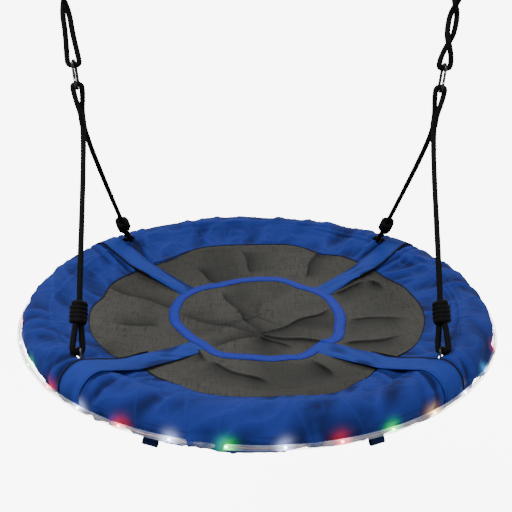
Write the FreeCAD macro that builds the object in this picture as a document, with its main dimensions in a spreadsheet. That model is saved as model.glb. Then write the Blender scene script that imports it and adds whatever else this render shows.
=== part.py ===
import FreeCAD, Part
import math
import os
import Sketcher

# A 40 inch saucer nest swing, in millimetres, +Z up and -Y to the front.
# The origin is the middle of the line through the two hanging eyes, which is the axis it swings on.
# Each side hangs in its own plane, which leans outwards from the rim up to the hanging eye.
# A place in that plane is given as (out, y, down): square to the plane, along Y, and down from the eye.
# Each leg of a rope has a frame at the frame tube: s runs up the leg and e across the rope eye.

Vector = FreeCAD.Vector
Placement = FreeCAD.Placement
Rotation = FreeCAD.Rotation

UP = Vector(0, 0, 1)
ALONG_X = Vector(1, 0, 0)
SIDES = (("left", -1), ("right", 1))
ENDS = (("front", -1), ("back", 1))

# Sizes that are set by themselves, in millimetres and degrees.
DRIVING = (
    ("hanging_spacing", 758.0),
    ("eye_height", 668.0),
    ("rim_diameter", 1016.0),
    ("cover_radius", 38.0),
    ("cover_wall", 2.6),
    ("foam_gap", 0.4),
    ("foam_bore_gap", 0.3),
    ("frame_tube_diameter", 22.0),
    ("frame_tube_wall", 1.2),
    ("frame_end_gap", 0.3),
    ("hang_angle", 44.5),
    ("joint_sleeve_length", 80.0),
    ("joint_sleeve_wall", 1.2),
    ("joint_sleeve_gap", 0.1),
    ("bolt_offset", 25.0),
    ("bolt_radius", 2.5),
    ("bolt_hole_gap", 0.1),
    ("bolt_head_radius", 4.5),
    ("bolt_head_height", 3.0),
    ("bolt_tip", 1.5),
    ("nut_radius", 4.4),
    ("nut_height", 4.0),
    ("rope_diameter", 11.0),
    ("rope_gap", 0.4),
    ("thimble_bore_radius", 10.0),
    ("thimble_groove_radius", 15.0),
    ("thimble_flange", 5.0),
    ("thimble_width", 16.0),
    ("top_link_height", 60.0),
    ("top_link_width", 30.0),
    ("top_link_stock", 6.0),
    ("top_link_down", 143.4),
    ("low_link_height", 44.0),
    ("low_link_width", 25.0),
    ("low_link_stock", 5.0),
    ("low_link_lift", 17.4),
    ("gate_foot", 12.5),
    ("gate_nose", 11.0),
    ("gate_slim", 0.3),
    ("gate_pin_radius", 1.0),
    ("gate_pin_gap", 0.06),
    ("split_down", 297.8),
    ("whipping_down", 257.0),
    ("whipping_length", 15.0),
    ("whipping_wall", 0.9),
    ("knot_low", 99.0),
    ("knot_length", 47.0),
    ("knot_radius", 17.0),
    ("hanger_width", 10.0),
    ("hanger_shift", 12.2),
    ("hanger_wall", 1.8),
    ("hanger_head", 4.5),
    ("hanger_reach", 19.4),
    ("opening_half", 24.0),
    ("opening_shift", 15.0),
    ("seat_edge_radius", 374.0),
    ("flap_drop", 9.3),
    ("flap_wall", 3.0),
    ("mat_radius", 416.0),
    ("mat_wall", 2.0),
    ("mat_gap", 0.3),
    ("mat_floor_radius", 206.0),
    ("mat_floor_drop", 42.0),
    ("ring_radius", 204.0),
    ("ring_width", 24.0),
    ("ring_wall", 1.2),
    ("strap_width", 55.0),
    ("strap_wall", 1.6),
    ("strap_gap", 1.5),
    ("strap_end_angle", -70.0),
    ("front_strap_turn", 4.4),
    ("back_strap_turn", 8.9),
    ("light_tube_radius", 4.0),
    ("light_tube_wall", 1.0),
    ("light_drop", 6.0),
    ("light_wire_radius", 0.8),
    ("bulb_radius", 2.3),
    ("bulb_count", 35.0),
    ("bulb_start", 222.0),
    ("bulb_bore_gap", 0.05),
    ("plug_radius", 5.0),
    ("plug_length", 20.0),
    ("case_length", 64.0),
    ("case_width", 64.0),
    ("case_height", 17.0),
    ("case_wall", 1.6),
    ("case_inner_end", 332.0),
    ("case_drop", 24.0),
    ("pouch_wall", 0.9),
    ("pouch_gap", 0.3),
    ("lid_wall", 2.0),
    ("button_radius", 4.0),
    ("button_gap", 0.2),
    ("button_length", 7.0),
    ("button_proud", 2.5),
    ("cell_radius", 5.25),
    ("cell_length", 44.5),
    ("lead_radius", 1.25),
    ("loop_count", 8.0),
    ("loop_start_angle", 292.5),
    ("loop_width", 26.0),
    ("loop_wall", 3.2),
    ("loop_height", 13.0),
    ("loop_tilt", 62.0),
)

SIZES = dict(DRIVING)

# Sizes worked out from the driving ones.
ROPE_RADIUS = SIZES["rope_diameter"] / 2
FRAME_RADIUS = SIZES["rim_diameter"] / 2 - SIZES["cover_radius"]
HANG_ANGLE = math.radians(SIZES["hang_angle"])
HANG_X = FRAME_RADIUS * math.cos(HANG_ANGLE)
HANG_Y = FRAME_RADIUS * math.sin(HANG_ANGLE)
LEAN = math.atan((SIZES["hanging_spacing"] / 2 - HANG_X) / SIZES["eye_height"])
THIMBLE_LOOP = SIZES["thimble_groove_radius"] + ROPE_RADIUS + SIZES["rope_gap"]
TOP_BAR_DOWN = SIZES["top_link_down"] + SIZES["top_link_stock"] / 2
LOW_BAR_DOWN = TOP_BAR_DOWN + SIZES["top_link_height"] - SIZES["top_link_stock"]
TOP_HOLD = SIZES["top_link_stock"] / 2 + ROPE_RADIUS + SIZES["rope_gap"]
LOW_HOLD = SIZES["low_link_stock"] / 2 + ROPE_RADIUS + SIZES["rope_gap"] + 0.2
SLING_FOOT = TOP_BAR_DOWN + TOP_HOLD
FOLD_DOWN = LOW_BAR_DOWN - TOP_HOLD
EYE_LIFT = SIZES["low_link_lift"] + SIZES["low_link_height"] - SIZES["low_link_stock"] - LOW_HOLD
STRAND = ROPE_RADIUS + 0.2
EYE_HALF = 2 * ROPE_RADIUS + 0.2
VOID_RADIUS = SIZES["cover_radius"] - SIZES["cover_wall"]
STRAP_OUTSIDE = SIZES["rim_diameter"] / 2 + SIZES["strap_gap"] + SIZES["strap_wall"]
LIGHT_RADIUS = STRAP_OUTSIDE + SIZES["light_tube_radius"] + 0.9

SIZES.update(
    frame_radius=FRAME_RADIUS,
    thimble_loop=THIMBLE_LOOP,
    void_radius=VOID_RADIUS,
    foam_radius=VOID_RADIUS - SIZES["foam_gap"],
    light_radius=LIGHT_RADIUS,
    mat_edge_top=SIZES["flap_drop"] + SIZES["mat_gap"],
    mat_edge_low=SIZES["flap_drop"] + SIZES["mat_gap"] + SIZES["mat_wall"],
    mat_floor_low=SIZES["mat_floor_drop"] + SIZES["mat_wall"],
)

doc = FreeCAD.newDocument("SaucerSwing")
sheet = doc.addObject("Spreadsheet::Sheet", "Sizes")
for row, (alias, value) in enumerate(SIZES.items(), start=1):
    sheet.set(f"A{row}", alias)
    sheet.set(f"B{row}", f"{value:.6g}")
    sheet.setAlias(f"B{row}", alias)
doc.recompute()

pieces = []


# ---------------------------------------------------------------- shapes bound to the sheet


def bound(kind, name, **sizes):
    """A Part object whose sizes follow the sheet."""
    obj = doc.addObject(kind, name)
    for prop, expression in sizes.items():
        obj.setExpression(prop, expression)
    return obj


def cylinder(name, radius, height, placement=None):
    obj = bound("Part::Cylinder", name, Radius=radius, Height=height)
    obj.Placement = placement or Placement()
    return obj


def torus(name, ring, section, placement=None, sweep=360.0):
    obj = bound("Part::Torus", name, Radius1=ring, Radius2=section)
    obj.Angle3 = sweep
    obj.Placement = placement or Placement()
    return obj


def box(name, length, width, height, placement=None):
    obj = bound("Part::Box", name, Length=length, Width=width, Height=height)
    obj.Placement = placement or Placement()
    return obj


def fuse(name, shapes):
    obj = doc.addObject("Part::MultiFuse", name)
    obj.Shapes = shapes
    return obj


def cut(name, base, tool):
    obj = doc.addObject("Part::Cut", name)
    obj.Base = base
    obj.Tool = tool
    return obj


def group(name, solids):
    obj = doc.addObject("Part::Compound", name)
    obj.Links = solids
    return obj


def keep(label, obj, placement=None):
    """Name a finished sub-part and put it in its place."""
    obj.Label = label
    if placement is not None:
        obj.Placement = placement
    pieces.append(obj)
    return obj


def keep_shape(label, shape):
    obj = doc.addObject("Part::Feature", label)
    obj.Shape = shape
    return keep(label, obj)


def turned(angle_deg):
    """A turn about the upright axis, at the height of the rim."""
    return Placement(Vector(0, 0, -SIZES["eye_height"]), Rotation(UP, angle_deg))


def from_axes(origin, x_axis, y_axis, z_axis):
    matrix = FreeCAD.Matrix(
        x_axis.x, y_axis.x, z_axis.x, origin.x,
        x_axis.y, y_axis.y, z_axis.y, origin.y,
        x_axis.z, y_axis.z, z_axis.z, origin.z,
        0, 0, 0, 1,
    )
    return Placement(matrix)


# ---------------------------------------------------------------- where things hang


def hanging(side, out, y, down):
    """A point of one side's leaning plane."""
    eye = Vector(side * SIZES["hanging_spacing"] / 2, 0, 0)
    outward = Vector(side * math.cos(LEAN), 0, -math.sin(LEAN))
    downward = Vector(-side * math.sin(LEAN), 0, -math.cos(LEAN))
    return eye + outward * out + Vector(0, y, 0) + downward * down


def hang_azimuth(side, end):
    return math.degrees(math.atan2(end * HANG_Y, side * HANG_X))


def leg_axes(side, end):
    """Foot on the frame tube's axis, up the leg, along the link, and across the rope eye."""
    foot = Vector(side * HANG_X, end * HANG_Y, -SIZES["eye_height"])
    up = hanging(side, 0, end * STRAND, SIZES["split_down"]) - foot
    up.normalize()
    tangent = Vector(-foot.y, foot.x, 0)
    tangent.normalize()
    along = tangent - up * tangent.dot(up)
    along.normalize()
    across = up.cross(along)
    if across.z > 0:
        across = -across
    return foot, up, along, across


def on_leg(side, end, e, s):
    foot, up, _, across = leg_axes(side, end)
    return foot + across * e + up * s


# ---------------------------------------------------------------- ropes


def half_turn(points, i):
    return (points[i + 1] - points[i]).getAngle(points[i] - points[i - 1]) / 2


def route_wire(label, route):
    """Straight runs joined by tangent arcs, each as large as its runs allow unless a radius is given."""
    points = [point for point, _ in route]
    runs = [(after - before).Length for before, after in zip(points, points[1:])]
    turns = {i: half_turn(points, i) for i in range(1, len(points) - 1)}
    given = {i: route[i][1] * math.tan(turn) for i, turn in turns.items() if route[i][1]}
    edges = []
    radii = []
    last = points[0]
    for i, turn in turns.items():
        reach = given.get(i) or min(
            0.45 * runs[i - 1],
            0.45 * runs[i],
            0.95 * (runs[i - 1] - given.get(i - 1, 0)),
            0.95 * (runs[i] - given.get(i + 1, 0)),
        )
        radius = reach / math.tan(turn)
        back = (points[i - 1] - points[i]).normalize()
        ahead = (points[i + 1] - points[i]).normalize()
        start = points[i] + back * reach
        stop = points[i] + ahead * reach
        bisector = (back + ahead).normalize()
        middle = points[i] + bisector * (radius / math.cos(turn) - radius)
        if (start - last).Length > 1e-4:
            edges.append(Part.LineSegment(last, start).toShape())
        edges.append(Part.Arc(start, middle, stop).toShape())
        radii.append(radius)
        last = stop
    if (points[-1] - last).Length > 1e-4:
        edges.append(Part.LineSegment(last, points[-1]).toShape())
    print(label, "bend radii", ", ".join(f"{radius:.0f}" for radius in radii))
    return Part.Wire(edges)


def cord(label, route, radius):
    path = route_wire(label, route)
    first = path.Edges[0]
    start = first.valueAt(first.FirstParameter)
    direction = first.tangentAt(first.FirstParameter)
    profile = Part.Wire([Part.makeCircle(radius, start, direction)])
    solid = path.makePipeShell([profile], True, False)
    expected = math.pi * radius**2 * path.Length
    ratio = solid.Volume / expected
    print(label, f"length {path.Length:.0f}", f"volume over section times length {ratio:.4f}")
    return keep_shape(label, solid)


# The left sling's parts lie side by side; the right sling's cross once.
# Each row is (out, y, down, radius).
SLING_TOP = (
    (0.0, 0.2, -THIMBLE_LOOP, None),
    (0.0, THIMBLE_LOOP, -THIMBLE_LOOP, THIMBLE_LOOP - 0.2),
    (0.0, THIMBLE_LOOP, 14.0, 45.0),
    (0.0, 16.5, 26.0, None),
)
LEFT_SLING = SLING_TOP + (
    (6.4, 0.0, 52.0, None),
    (7.0, 0.0, 98.0, None),
    (11.4, 0.0, SLING_FOOT - 15.0, None),
    (11.4, 0.0, SLING_FOOT, 11.4),
)
RIGHT_SLING = SLING_TOP + (
    (7.6, 0.0, 52.0, None),
    (7.4, 0.0, 84.0, None),
    (5.6, 5.6, 98.0, None),
    (0.0, 7.8, 111.0, None),
    (-5.8, 5.6, 124.0, None),
    (-11.4, 0.0, SLING_FOOT - 15.0, None),
    (-11.4, 0.0, SLING_FOOT, 11.4),
)


def sling_point(side, out, y, down):
    """A sling stands upright round its thimble and lies in the leaning plane below it."""
    if down < SIZES["thimble_groove_radius"]:
        return Vector(side * SIZES["hanging_spacing"] / 2, y, -down)
    return hanging(side, out, y, down)


def sling(name, side, half):
    """A closed loop: the second half is the first one turned half round the hanging line."""
    there = [(sling_point(side, out, y, down), radius) for out, y, down, radius in half]
    back = [(sling_point(side, -out, -y, down), radius) for out, y, down, radius in reversed(half)]
    cord(name, there + back, ROPE_RADIUS)


# From the rope's end in the knot, round the eye and up into the leg: (e, s, radius) on the leg.
EYE = (
    (-STRAND, SIZES["knot_low"] + 5.0, None),
    (-EYE_HALF, EYE_LIFT + 17.0, None),
    (-EYE_HALF, EYE_LIFT, EYE_HALF),
    (EYE_HALF, EYE_LIFT, EYE_HALF),
    (EYE_HALF, EYE_LIFT + 17.0, None),
    (STRAND, SIZES["knot_low"] + 5.0, None),
    (0.0, SIZES["knot_low"] + 41.0, None),
)
# From the split up to the fold over the upper carabiner, for the front part: (out, y, down, radius).
FOLD = (
    (0.0, -STRAND, SIZES["split_down"], None),
    (0.0, -STRAND - 0.3, FOLD_DOWN + 58.0, None),
    (4.9, -4.9, FOLD_DOWN + 35.0, None),
    (TOP_HOLD + 0.2, 0.0, FOLD_DOWN + 14.0, None),
    (TOP_HOLD + 0.2, 0.0, FOLD_DOWN, TOP_HOLD + 0.2),
)


def rope(name, side):
    front = [(on_leg(side, -1, e, s), radius) for e, s, radius in EYE]
    front += [(hanging(side, out, y, down), radius) for out, y, down, radius in FOLD]
    back = [(on_leg(side, 1, e, s), radius) for e, s, radius in EYE]
    back += [(hanging(side, -out, -y, down), radius) for out, y, down, radius in FOLD]
    cord(name, front + back[::-1], ROPE_RADIUS)


def knot(name, side, end):
    foot, up, along, across = leg_axes(side, end)
    solid = cylinder(name, "Sizes.knot_radius", "Sizes.knot_length")
    keep(name, solid, from_axes(foot + up * SIZES["knot_low"], up.cross(across), -across, up))


def whipping(name, side):
    """Thread bound round the two parts of the rope above the split."""
    radius = "Sizes.rope_diameter / 2 + Sizes.whipping_wall"
    ends = [
        cylinder(name + "_end", radius, "Sizes.whipping_length", Placement(Vector(0, y, 0), Rotation()))
        for y in (-STRAND - 0.25, STRAND + 0.25)
    ]
    middle = box(
        name + "_middle",
        "2 * (Sizes.rope_diameter / 2 + Sizes.whipping_wall)",
        "Sizes.rope_diameter + 0.9",
        "Sizes.whipping_length",
        Placement(Vector(-ROPE_RADIUS - SIZES["whipping_wall"], -STRAND - 0.25, 0), Rotation()),
    )
    top = hanging(side, 0, 0, SIZES["whipping_down"] + SIZES["whipping_length"])
    lean = Rotation(Vector(0, 1, 0), math.degrees(side * LEAN))
    keep(name, fuse(name, ends + [middle]), Placement(top, lean))


# ---------------------------------------------------------------- thimbles and carabiners


def thimble(name, side):
    """A grooved round thimble with a plain bore along X."""
    outside = "Sizes.thimble_groove_radius + Sizes.thimble_flange"
    body = cylinder(name + "_blank", outside, "Sizes.thimble_width")
    bore = cylinder(name + "_bore", "Sizes.thimble_bore_radius", "Sizes.thimble_width")
    middle = Placement(Vector(0, 0, SIZES["thimble_width"] / 2), Rotation())
    groove = torus(name + "_groove", "Sizes.thimble_loop", "Sizes.rope_diameter / 2 + Sizes.rope_gap", middle)
    ring = cut(name, body, fuse(name + "_cuts", [bore, groove]))
    start = side * SIZES["hanging_spacing"] / 2 - SIZES["thimble_width"] / 2
    keep(name, ring, Placement(Vector(start, 0, 0), Rotation(Vector(0, 1, 0), 90)))


UPPER_BOW = Rotation(Vector(1, 1, 1), 120)
LOWER_BOW = Rotation(ALONG_X, 180).multiply(UPPER_BOW)


def carabiner_sizes(kind):
    """Stock, bow radius, and the heights of the upper bow's centre, the gate's pin and the nose."""
    stock = SIZES[kind + "_stock"]
    bow = (SIZES[kind + "_width"] - stock) / 2
    upper = SIZES[kind + "_height"] - stock - bow
    pin = SIZES["gate_foot"] + 3.2
    nose = SIZES[kind + "_height"] - stock - bow - (SIZES["gate_nose"] - bow) - 3.0
    return stock, bow, upper, pin, nose


def carabiner(name, kind, place):
    """Bent bar with a tongue at the gate's pin and a thin nose that the gate closes over."""
    stock, bow, upper, pin, nose = carabiner_sizes(kind)
    half = f"Sizes.{kind}_stock / 2"
    bow_size = f"(Sizes.{kind}_width - Sizes.{kind}_stock) / 2"
    low = torus(name + "_low", bow_size, half, Placement(Vector(0, 0, bow), LOWER_BOW), 180.0)
    high = torus(name + "_high", bow_size, half, Placement(Vector(0, 0, upper), UPPER_BOW), 180.0)
    spine = cylinder(name + "_spine", half, f"{upper - bow:.6f}", Placement(Vector(0, bow, bow), Rotation()))
    foot_height = SIZES["gate_foot"] - bow
    foot = cylinder(name + "_foot", half, f"{foot_height:.6f}", Placement(Vector(0, -bow, bow), Rotation()))
    beak = cylinder(name + "_beak", half, f"{upper - nose:.6f}", Placement(Vector(0, -bow, nose), Rotation()))
    tongue = box(
        name + "_tongue", "2", f"0.8 * Sizes.{kind}_stock", "6.8",
        Placement(Vector(-1, -bow - 0.4 * stock, SIZES["gate_foot"] - 2.0), Rotation()),
    )
    nose_plate = box(
        name + "_nose", "1.2", f"0.7 * Sizes.{kind}_stock", "4.5",
        Placement(Vector(-0.6, -bow - 0.35 * stock, nose - 2.5), Rotation()),
    )
    bar = fuse(name + "_bar", [low, high, spine, foot, beak, tongue, nose_plate])
    across = Placement(Vector(-stock, -bow, pin), Rotation(Vector(0, 1, 0), 90))
    hole = cylinder(name + "_hole", "Sizes.gate_pin_radius", f"2 * Sizes.{kind}_stock", across)
    keep(name, cut(name, bar, hole), place)


def gate(name, kind, place):
    """Gate bar, forked over the tongue at its foot and slotted for the nose at its tip."""
    stock, bow, _, pin, nose = carabiner_sizes(kind)
    foot = pin - 1.6
    top = nose - 0.5
    radius = f"Sizes.{kind}_stock / 2 - Sizes.gate_slim"
    bar = cylinder(name + "_bar", radius, f"{top - foot:.6f}", Placement(Vector(0, -bow, foot), Rotation()))
    fork = box(
        name + "_fork", "2.4", f"2 * Sizes.{kind}_stock", "4.9",
        Placement(Vector(-1.2, -bow - stock, foot - 0.2), Rotation()),
    )
    slot = box(
        name + "_slot", "1.8", f"2 * Sizes.{kind}_stock", "4",
        Placement(Vector(-0.9, -bow - stock, top - 2.8), Rotation()),
    )
    across = Placement(Vector(-stock, -bow, pin), Rotation(Vector(0, 1, 0), 90))
    hole = cylinder(
        name + "_hole", "Sizes.gate_pin_radius + Sizes.gate_pin_gap", f"2 * Sizes.{kind}_stock", across
    )
    keep(name, cut(name, bar, fuse(name + "_cuts", [fork, slot, hole])), place)


def gate_pin(name, kind, place):
    stock, bow, _, pin, _ = carabiner_sizes(kind)
    half = stock / 2 - SIZES["gate_slim"]
    across = Placement(Vector(-half, -bow, pin), Rotation(Vector(0, 1, 0), 90))
    rivet = cylinder(name, "Sizes.gate_pin_radius", f"Sizes.{kind}_stock - 2 * Sizes.gate_slim")
    rivet.Placement = place.multiply(across)
    return rivet


def upper_place(side):
    """Lower bar's centre of an upper carabiner, its plane along Y and its gate to the front."""
    origin = hanging(side, 0, 0, LOW_BAR_DOWN)
    up = origin - hanging(side, 0, 0, LOW_BAR_DOWN + 1)
    along_y = Vector(0, 1, 0)
    return from_axes(origin, along_y.cross(up), along_y, up)


def lower_place(side, end):
    """Lower bar's centre of a lower carabiner, in line with its leg, its gate towards the rope's own side."""
    foot, up, along, _ = leg_axes(side, end)
    if along.x * side < 0:
        along = -along
    return from_axes(foot + up * SIZES["low_link_lift"], along.cross(up), along, up)


# ---------------------------------------------------------------- webbing hangers


def hull_face(radius_low, radius_high, rise):
    """The stretched outline round two circles, one above the other, in the XZ plane."""
    tilt = math.asin((radius_low - radius_high) / rise)
    side_x = math.cos(tilt)
    side_z = math.sin(tilt)
    low = Vector(radius_low * side_x, 0, radius_low * side_z)
    high = Vector(radius_high * side_x, 0, rise + radius_high * side_z)
    low_left = Vector(-low.x, 0, low.z)
    high_left = Vector(-high.x, 0, high.z)
    edges = [
        Part.LineSegment(low, high).toShape(),
        Part.Arc(high, Vector(0, 0, rise + radius_high), high_left).toShape(),
        Part.LineSegment(high_left, low_left).toShape(),
        Part.Arc(low_left, Vector(0, 0, -radius_low), low).toShape(),
    ]
    return Part.Face(Part.Wire(edges))


def hanger(name, side, end):
    """Webbing loop round the frame tube and the lower carabiner's bar, under the lowest of its bow."""
    foot, up, _, _ = leg_axes(side, end)
    tangent = Vector(-foot.y, foot.x, 0)
    tangent.normalize()
    rise = up - tangent * up.dot(tangent)
    rise.normalize()
    width = SIZES["hanger_width"]
    tube = SIZES["frame_tube_diameter"] / 2 + SIZES["rope_gap"]
    head = SIZES["hanger_head"]
    wall = SIZES["hanger_wall"]
    outer = hull_face(tube + wall, head + wall, SIZES["hanger_reach"])
    inner = hull_face(tube, head, SIZES["hanger_reach"])
    band = outer.cut(inner).extrude(Vector(0, width, 0))
    obj = keep_shape(name, band)
    shift = -end * side * SIZES["hanger_shift"] - width / 2
    obj.Placement = from_axes(foot + tangent * shift, tangent.cross(rise), tangent, rise)


# ---------------------------------------------------------------- frame


JOINT_ANGLES = (0, 90, 180, 270)


def arc_angle(length):
    """Degrees of the frame circle along a length."""
    return math.degrees(length / FRAME_RADIUS)


def at_frame(name, radius, height, angle, low):
    """An upright cylinder on the frame circle, from a height over the frame tube's axis."""
    place = turned(angle).multiply(Placement(Vector(FRAME_RADIUS, 0, low), Rotation()))
    return cylinder(name, radius, height, place)


def bolt_angles(joint):
    return (joint - arc_angle(SIZES["bolt_offset"]), joint + arc_angle(SIZES["bolt_offset"]))


def bolt_holes(name, joints):
    height = "Sizes.frame_tube_diameter * 2"
    radius = "Sizes.bolt_radius + Sizes.bolt_hole_gap"
    low = -SIZES["frame_tube_diameter"]
    return [at_frame(name, radius, height, angle, low) for joint in joints for angle in bolt_angles(joint)]


def frame_tube(name, quarter):
    start = JOINT_ANGLES[quarter] + arc_angle(SIZES["frame_end_gap"] / 2)
    sweep = 90 - arc_angle(SIZES["frame_end_gap"])
    outside = "Sizes.frame_tube_diameter / 2"
    outer = torus(name + "_outer", "Sizes.frame_radius", outside, turned(start), sweep)
    inside = outside + " - Sizes.frame_tube_wall"
    inner = torus(name + "_inner", "Sizes.frame_radius", inside, turned(start), sweep)
    holes = bolt_holes(name + "_hole", (JOINT_ANGLES[quarter], JOINT_ANGLES[(quarter + 1) % 4]))
    keep(name, cut(name, outer, fuse(name + "_cuts", [inner] + holes)))


def joint_sleeve(name, joint):
    half = arc_angle(SIZES["joint_sleeve_length"]) / 2
    outside = "Sizes.frame_tube_diameter / 2 - Sizes.frame_tube_wall - Sizes.joint_sleeve_gap"
    inside = outside + " - Sizes.joint_sleeve_wall"
    outer = torus(name + "_outer", "Sizes.frame_radius", outside, turned(joint - half), 2 * half)
    inner = torus(name + "_inner", "Sizes.frame_radius", inside, turned(joint - half), 2 * half)
    return cut(name, outer, fuse(name + "_cuts", [inner] + bolt_holes(name + "_hole", [joint])))


def bolt(name, angle):
    tube = SIZES["frame_tube_diameter"] / 2
    length = "Sizes.frame_tube_diameter + Sizes.nut_height + Sizes.bolt_tip"
    tip = -tube - SIZES["nut_height"] - SIZES["bolt_tip"]
    shank = at_frame(name + "_shank", "Sizes.bolt_radius", length, angle, tip)
    head = at_frame(name + "_head", "Sizes.bolt_head_radius", "Sizes.bolt_head_height", angle, tube)
    return fuse(name, [shank, head])


def nut(name, angle):
    low = -SIZES["frame_tube_diameter"] / 2 - SIZES["nut_height"]
    place = turned(angle).multiply(Placement(Vector(FRAME_RADIUS, 0, low), Rotation()))
    blank = bound("Part::Prism", name + "_blank", Circumradius="Sizes.nut_radius", Height="Sizes.nut_height")
    blank.Polygon = 6
    blank.Placement = place
    thread = at_frame(name + "_thread", "Sizes.bolt_radius", "Sizes.nut_height", angle, low)
    return cut(name, blank, thread)


# ---------------------------------------------------------------- foam, cover, seat


def opening_angles(side, end):
    """Azimuth where a cover opening begins and ends, as it reaches from the hanger towards the side."""
    towards_side = -end * side
    middle = hang_azimuth(side, end) + towards_side * arc_angle(SIZES["opening_shift"])
    half = arc_angle(SIZES["opening_half"])
    return middle - half, middle + half


def foam_sleeve(name, start, stop, joint):
    """Foam tube from one opening to the next, with room for the bolts in it."""
    sweep = (stop - start) % 360
    outer = torus(name + "_outer", "Sizes.frame_radius", "Sizes.foam_radius", turned(start), sweep)
    bore_size = "Sizes.frame_tube_diameter / 2 + Sizes.foam_bore_gap"
    bore = torus(name + "_bore", "Sizes.frame_radius", bore_size, turned(start), sweep)
    reach = SIZES["frame_tube_diameter"] / 2 + SIZES["nut_height"] + SIZES["bolt_tip"] + 1.0
    pockets = [
        at_frame(name + "_pocket", "Sizes.bolt_head_radius + 1", f"{2 * reach:.6f}", angle, -reach)
        for angle in bolt_angles(joint)
    ]
    keep(name, cut(name, outer, fuse(name + "_cuts", [bore] + pockets)))


def opening_tool(name, side, end):
    """A wedge over the tube's top and inner side, where the lower carabiner comes out."""
    start, stop = opening_angles(side, end)
    depth = "2 * Sizes.cover_radius"
    outer = cylinder(name + "_outer", "Sizes.frame_radius + 0.45 * Sizes.cover_radius", depth)
    outer.Angle = stop - start
    inner = cylinder(name + "_inner", "Sizes.frame_radius - 1.05 * Sizes.cover_radius", depth)
    inner.Angle = stop - start
    low = Vector(0, 0, -SIZES["eye_height"] - 6.0)
    wedge = cut(name, outer, inner)
    wedge.Placement = Placement(low, Rotation(UP, start))
    return wedge


def flap_face():
    """Section of the flap: a level lip on the seat's edge, then straight up to touch the roll."""
    edge = Vector(SIZES["seat_edge_radius"], 0, SIZES["flap_wall"] - SIZES["flap_drop"])
    lip = Vector(SIZES["seat_edge_radius"], 0, -SIZES["flap_drop"])
    middle = Vector(FRAME_RADIUS, 0, 0)
    gap = edge - middle
    touch = math.atan2(gap.z, gap.x) % (2 * math.pi) - math.acos(SIZES["cover_radius"] / gap.Length)
    outward = Vector(math.cos(touch), 0, math.sin(touch))
    top = middle + outward * (SIZES["cover_radius"] - 0.05)
    under = middle + outward * VOID_RADIUS
    slope = (under - middle).cross(Vector(0, 1, 0)).normalize()
    inner = under + slope * ((lip.z - under.z) / slope.z)
    corners = [lip, edge, top, under, Vector(max(inner.x, lip.x + 0.5), 0, lip.z)]
    return Part.Face(Part.makePolygon(corners + [lip]))


def rim_cover():
    """Cloth sleeve round the foam, with a sloping flap down to the seat's edge and four openings."""
    sleeve = torus("cover_sleeve", "Sizes.frame_radius", "Sizes.cover_radius", turned(0))
    flap = doc.addObject("Part::Feature", "flap")
    flap.Shape = flap_face().revolve(Vector(0, 0, 0), UP, 360)
    flap.Placement = turned(0)
    void = torus("cover_void", "Sizes.frame_radius", "Sizes.void_radius", turned(0))
    tools = [void]
    for side_name, side in SIDES:
        for end_name, end in ENDS:
            tools.append(opening_tool(f"{end_name}_{side_name}_opening", side, end))
    keep("rim_cover", cut("rim_cover", fuse("cover_blank", [sleeve, flap]), fuse("cover_cuts", tools)))


def revolved_body(label, outline, placement):
    """A body turned about Z from an outline of sheet aliases, each with an optional minus sign."""
    body = doc.addObject("PartDesign::Body", label)
    sketch = body.newObject("Sketcher::SketchObject", label + "_outline")
    plane = next(item for item in body.Origin.OriginFeatures if item.Role == "XZ_Plane")
    sketch.AttachmentSupport = [(plane, "")]
    sketch.MapMode = "FlatFace"
    corners = []
    for names in outline:
        values = [0.0 if name == "0" else SIZES[name.lstrip("-")] for name in names]
        signs = [-1.0 if name.startswith("-") else 1.0 for name in names]
        corners.append(Vector(values[0] * signs[0], values[1] * signs[1], 0))
    count = len(corners)
    for i in range(count):
        sketch.addGeometry(Part.LineSegment(corners[i], corners[(i + 1) % count]), False)
    for i in range(count):
        sketch.addConstraint(Sketcher.Constraint("Coincident", i, 2, (i + 1) % count, 1))
    for i, names in enumerate(outline):
        for name, kind, axis in ((names[0], "DistanceX", -2), (names[1], "DistanceY", -1)):
            if name == "0":
                sketch.addConstraint(Sketcher.Constraint("PointOnObject", i, 1, axis))
                continue
            sign = "-" if name.startswith("-") else ""
            value = SIZES[name.lstrip("-")] * (-1.0 if sign else 1.0)
            index = sketch.addConstraint(Sketcher.Constraint(kind, -1, 1, i, 1, value))
            sketch.setExpression(f"Constraints[{index}]", f"{sign}Sizes.{name.lstrip('-')}")
    doc.recompute()
    turn = body.newObject("PartDesign::Revolution", label + "_turn")
    turn.Profile = sketch
    turn.ReferenceAxis = (sketch, ["V_Axis"])
    turn.Angle = 360.0
    body.Tip = turn
    keep(label, body, placement)


def seat_mat():
    """Shallow dish of cloth: a level floor inside the ring, a slope, and a level edge under the flap."""
    outline = (
        ("0", "-mat_floor_low"),
        ("mat_floor_radius", "-mat_floor_low"),
        ("seat_edge_radius", "-mat_edge_low"),
        ("mat_radius", "-mat_edge_low"),
        ("mat_radius", "-mat_edge_top"),
        ("seat_edge_radius", "-mat_edge_top"),
        ("mat_floor_radius", "-mat_floor_drop"),
        ("0", "-mat_floor_drop"),
    )
    revolved_body("seat_mat", outline, Placement(Vector(0, 0, -SIZES["eye_height"]), Rotation()))


def centre_ring():
    floor = -SIZES["eye_height"] - SIZES["mat_floor_drop"]
    low = Placement(Vector(0, 0, floor + SIZES["mat_gap"]), Rotation())
    outer = cylinder("ring_outer", "Sizes.ring_radius", "Sizes.ring_wall", low)
    inner = cylinder("ring_inner", "Sizes.ring_radius - Sizes.ring_width", "Sizes.ring_wall", low)
    keep("centre_ring", cut("centre_ring", outer, inner))


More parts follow.
